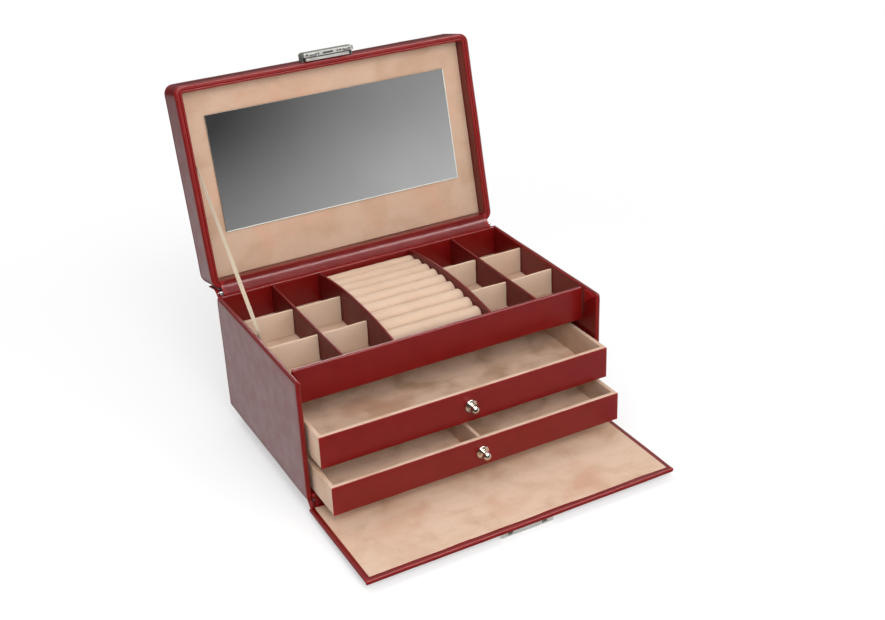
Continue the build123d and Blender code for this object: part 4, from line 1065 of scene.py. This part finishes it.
# What shines in glossy surfaces: a dark studio with soft boxes above and behind, a pale floor to the left and
# behind, and in front a grey wall that gets lighter to the right and down, which the mirror shows.
rightward = spread(tree, direction[0], 0.25, 0.46, 0.0, 0.28)
downward = spread(tree, direction[2], 0.11, -0.01, 0.0, 0.24)
low_cut = spread(tree, direction[2], -0.10, -0.02)
front_wall = math_node("MULTIPLY", math_node("ADD", math_node("ADD", rightward, downward), 0.02), low_cut)
front_only = spread(tree, direction[1], -0.5, -0.7)
overhead = spread(tree, direction[2], 0.60, 0.90, 0.0, 0.9)
behind = math_node("MULTIPLY", spread(tree, direction[1], 0.35, 0.6), spread(tree, direction[2], 0.12, 0.3, 0.0, 0.8))
left_floor = math_node("MULTIPLY", spread(tree, direction[0], -0.05, -0.30), spread(tree, direction[1], 0.2, 0.6, 0.0, 1.1))
left_floor = math_node("MULTIPLY", left_floor, spread(tree, direction[2], -0.15, -0.42))
right_side = math_node("MULTIPLY", spread(tree, direction[0], 0.60, 0.80, 0.0, 0.9), spread(tree, direction[2], 0.3, 0.1))
front_floor = math_node("MULTIPLY", spread(tree, direction[2], -0.15, -0.45), front_only)
front_floor = math_node("MULTIPLY", front_floor, spread(tree, direction[0], 0.34, 0.50, 0.08, 0.55))
reflected = math_node("MAXIMUM", math_node("MULTIPLY", front_wall, front_only), overhead)
reflected = math_node("MAXIMUM", math_node("MAXIMUM", reflected, behind), math_node("MAXIMUM", left_floor, 0.05))
reflected = math_node("MAXIMUM", reflected, math_node("MAXIMUM", right_side, front_floor))
dome = spread(tree, direction[2], -0.2, 0.9, 0.40, 0.68)
path_kind = node(tree, "ShaderNodeLightPath").outputs
studio = node(tree, "ShaderNodeMix", {0: path_kind["Is Glossy Ray"], 2: dome, 3: reflected}).outputs[0]
light = math_node("MAXIMUM", studio, path_kind["Is Camera Ray"])
backdrop = node(tree, "ShaderNodeBackground", {"Color": (1, 1, 1, 1), "Strength": light})
node(tree, "ShaderNodeOutputWorld", {"Surface": backdrop.outputs[0]})


def lamp(name, place, target, size, power, colour=(1.0, 1.0, 1.0)):
    data = bpy.data.lights.new(name, "AREA")
    data.shape = "RECTANGLE"
    data.size, data.size_y = size
    data.energy = power
    data.color = colour
    made = bpy.data.objects.new(name, data)
    made.location = place
    made.rotation_mode = "QUATERNION"
    made.rotation_quaternion = (Vector(target) - Vector(place)).to_track_quat("-Z", "Y")
    bpy.context.scene.collection.objects.link(made)
    return made


lamp("key_light", (-0.35, -1.45, 1.45), (0, 0, 0.1), (0.9, 0.9), 20.0)
lamp("top_light", (-0.3, 0.7, 2.1), (0, 0, 0.1), (1.2, 1.0), 10.0)
fill = lamp("front_fill", (0.5, -2.2, 0.9), (0, 0, 0.1), (1.8, 1.2), 21.0)
fill.visible_glossy = False
shine = lamp("strip_light", (0.75, -0.85, 1.65), (0, 0, 0.15), (1.5, 0.5), 26.0)
shine.visible_diffuse = False

camera_data = bpy.data.cameras.new("camera")
camera_data.lens = 53.02
camera_data.sensor_width = 36.0
camera = bpy.data.objects.new("camera", camera_data)
bpy.context.scene.collection.objects.link(camera)
camera_place, camera_target, camera_roll = (-463.5, -962.5, 665.1), (36.4, 0.0, 107.5), math.radians(-2.51)
camera.location = to_frame(camera_place)
view = (to_frame(camera_target) - camera.location).to_track_quat("-Z", "Y")
camera.rotation_mode = "QUATERNION"
camera.rotation_quaternion = view @ Quaternion((0, 0, 1), camera_roll)
camera_data.clip_start, camera_data.clip_end = 0.01, 100.0
bpy.context.scene.camera = camera
bpy.context.scene.view_settings.view_transform = "Standard"
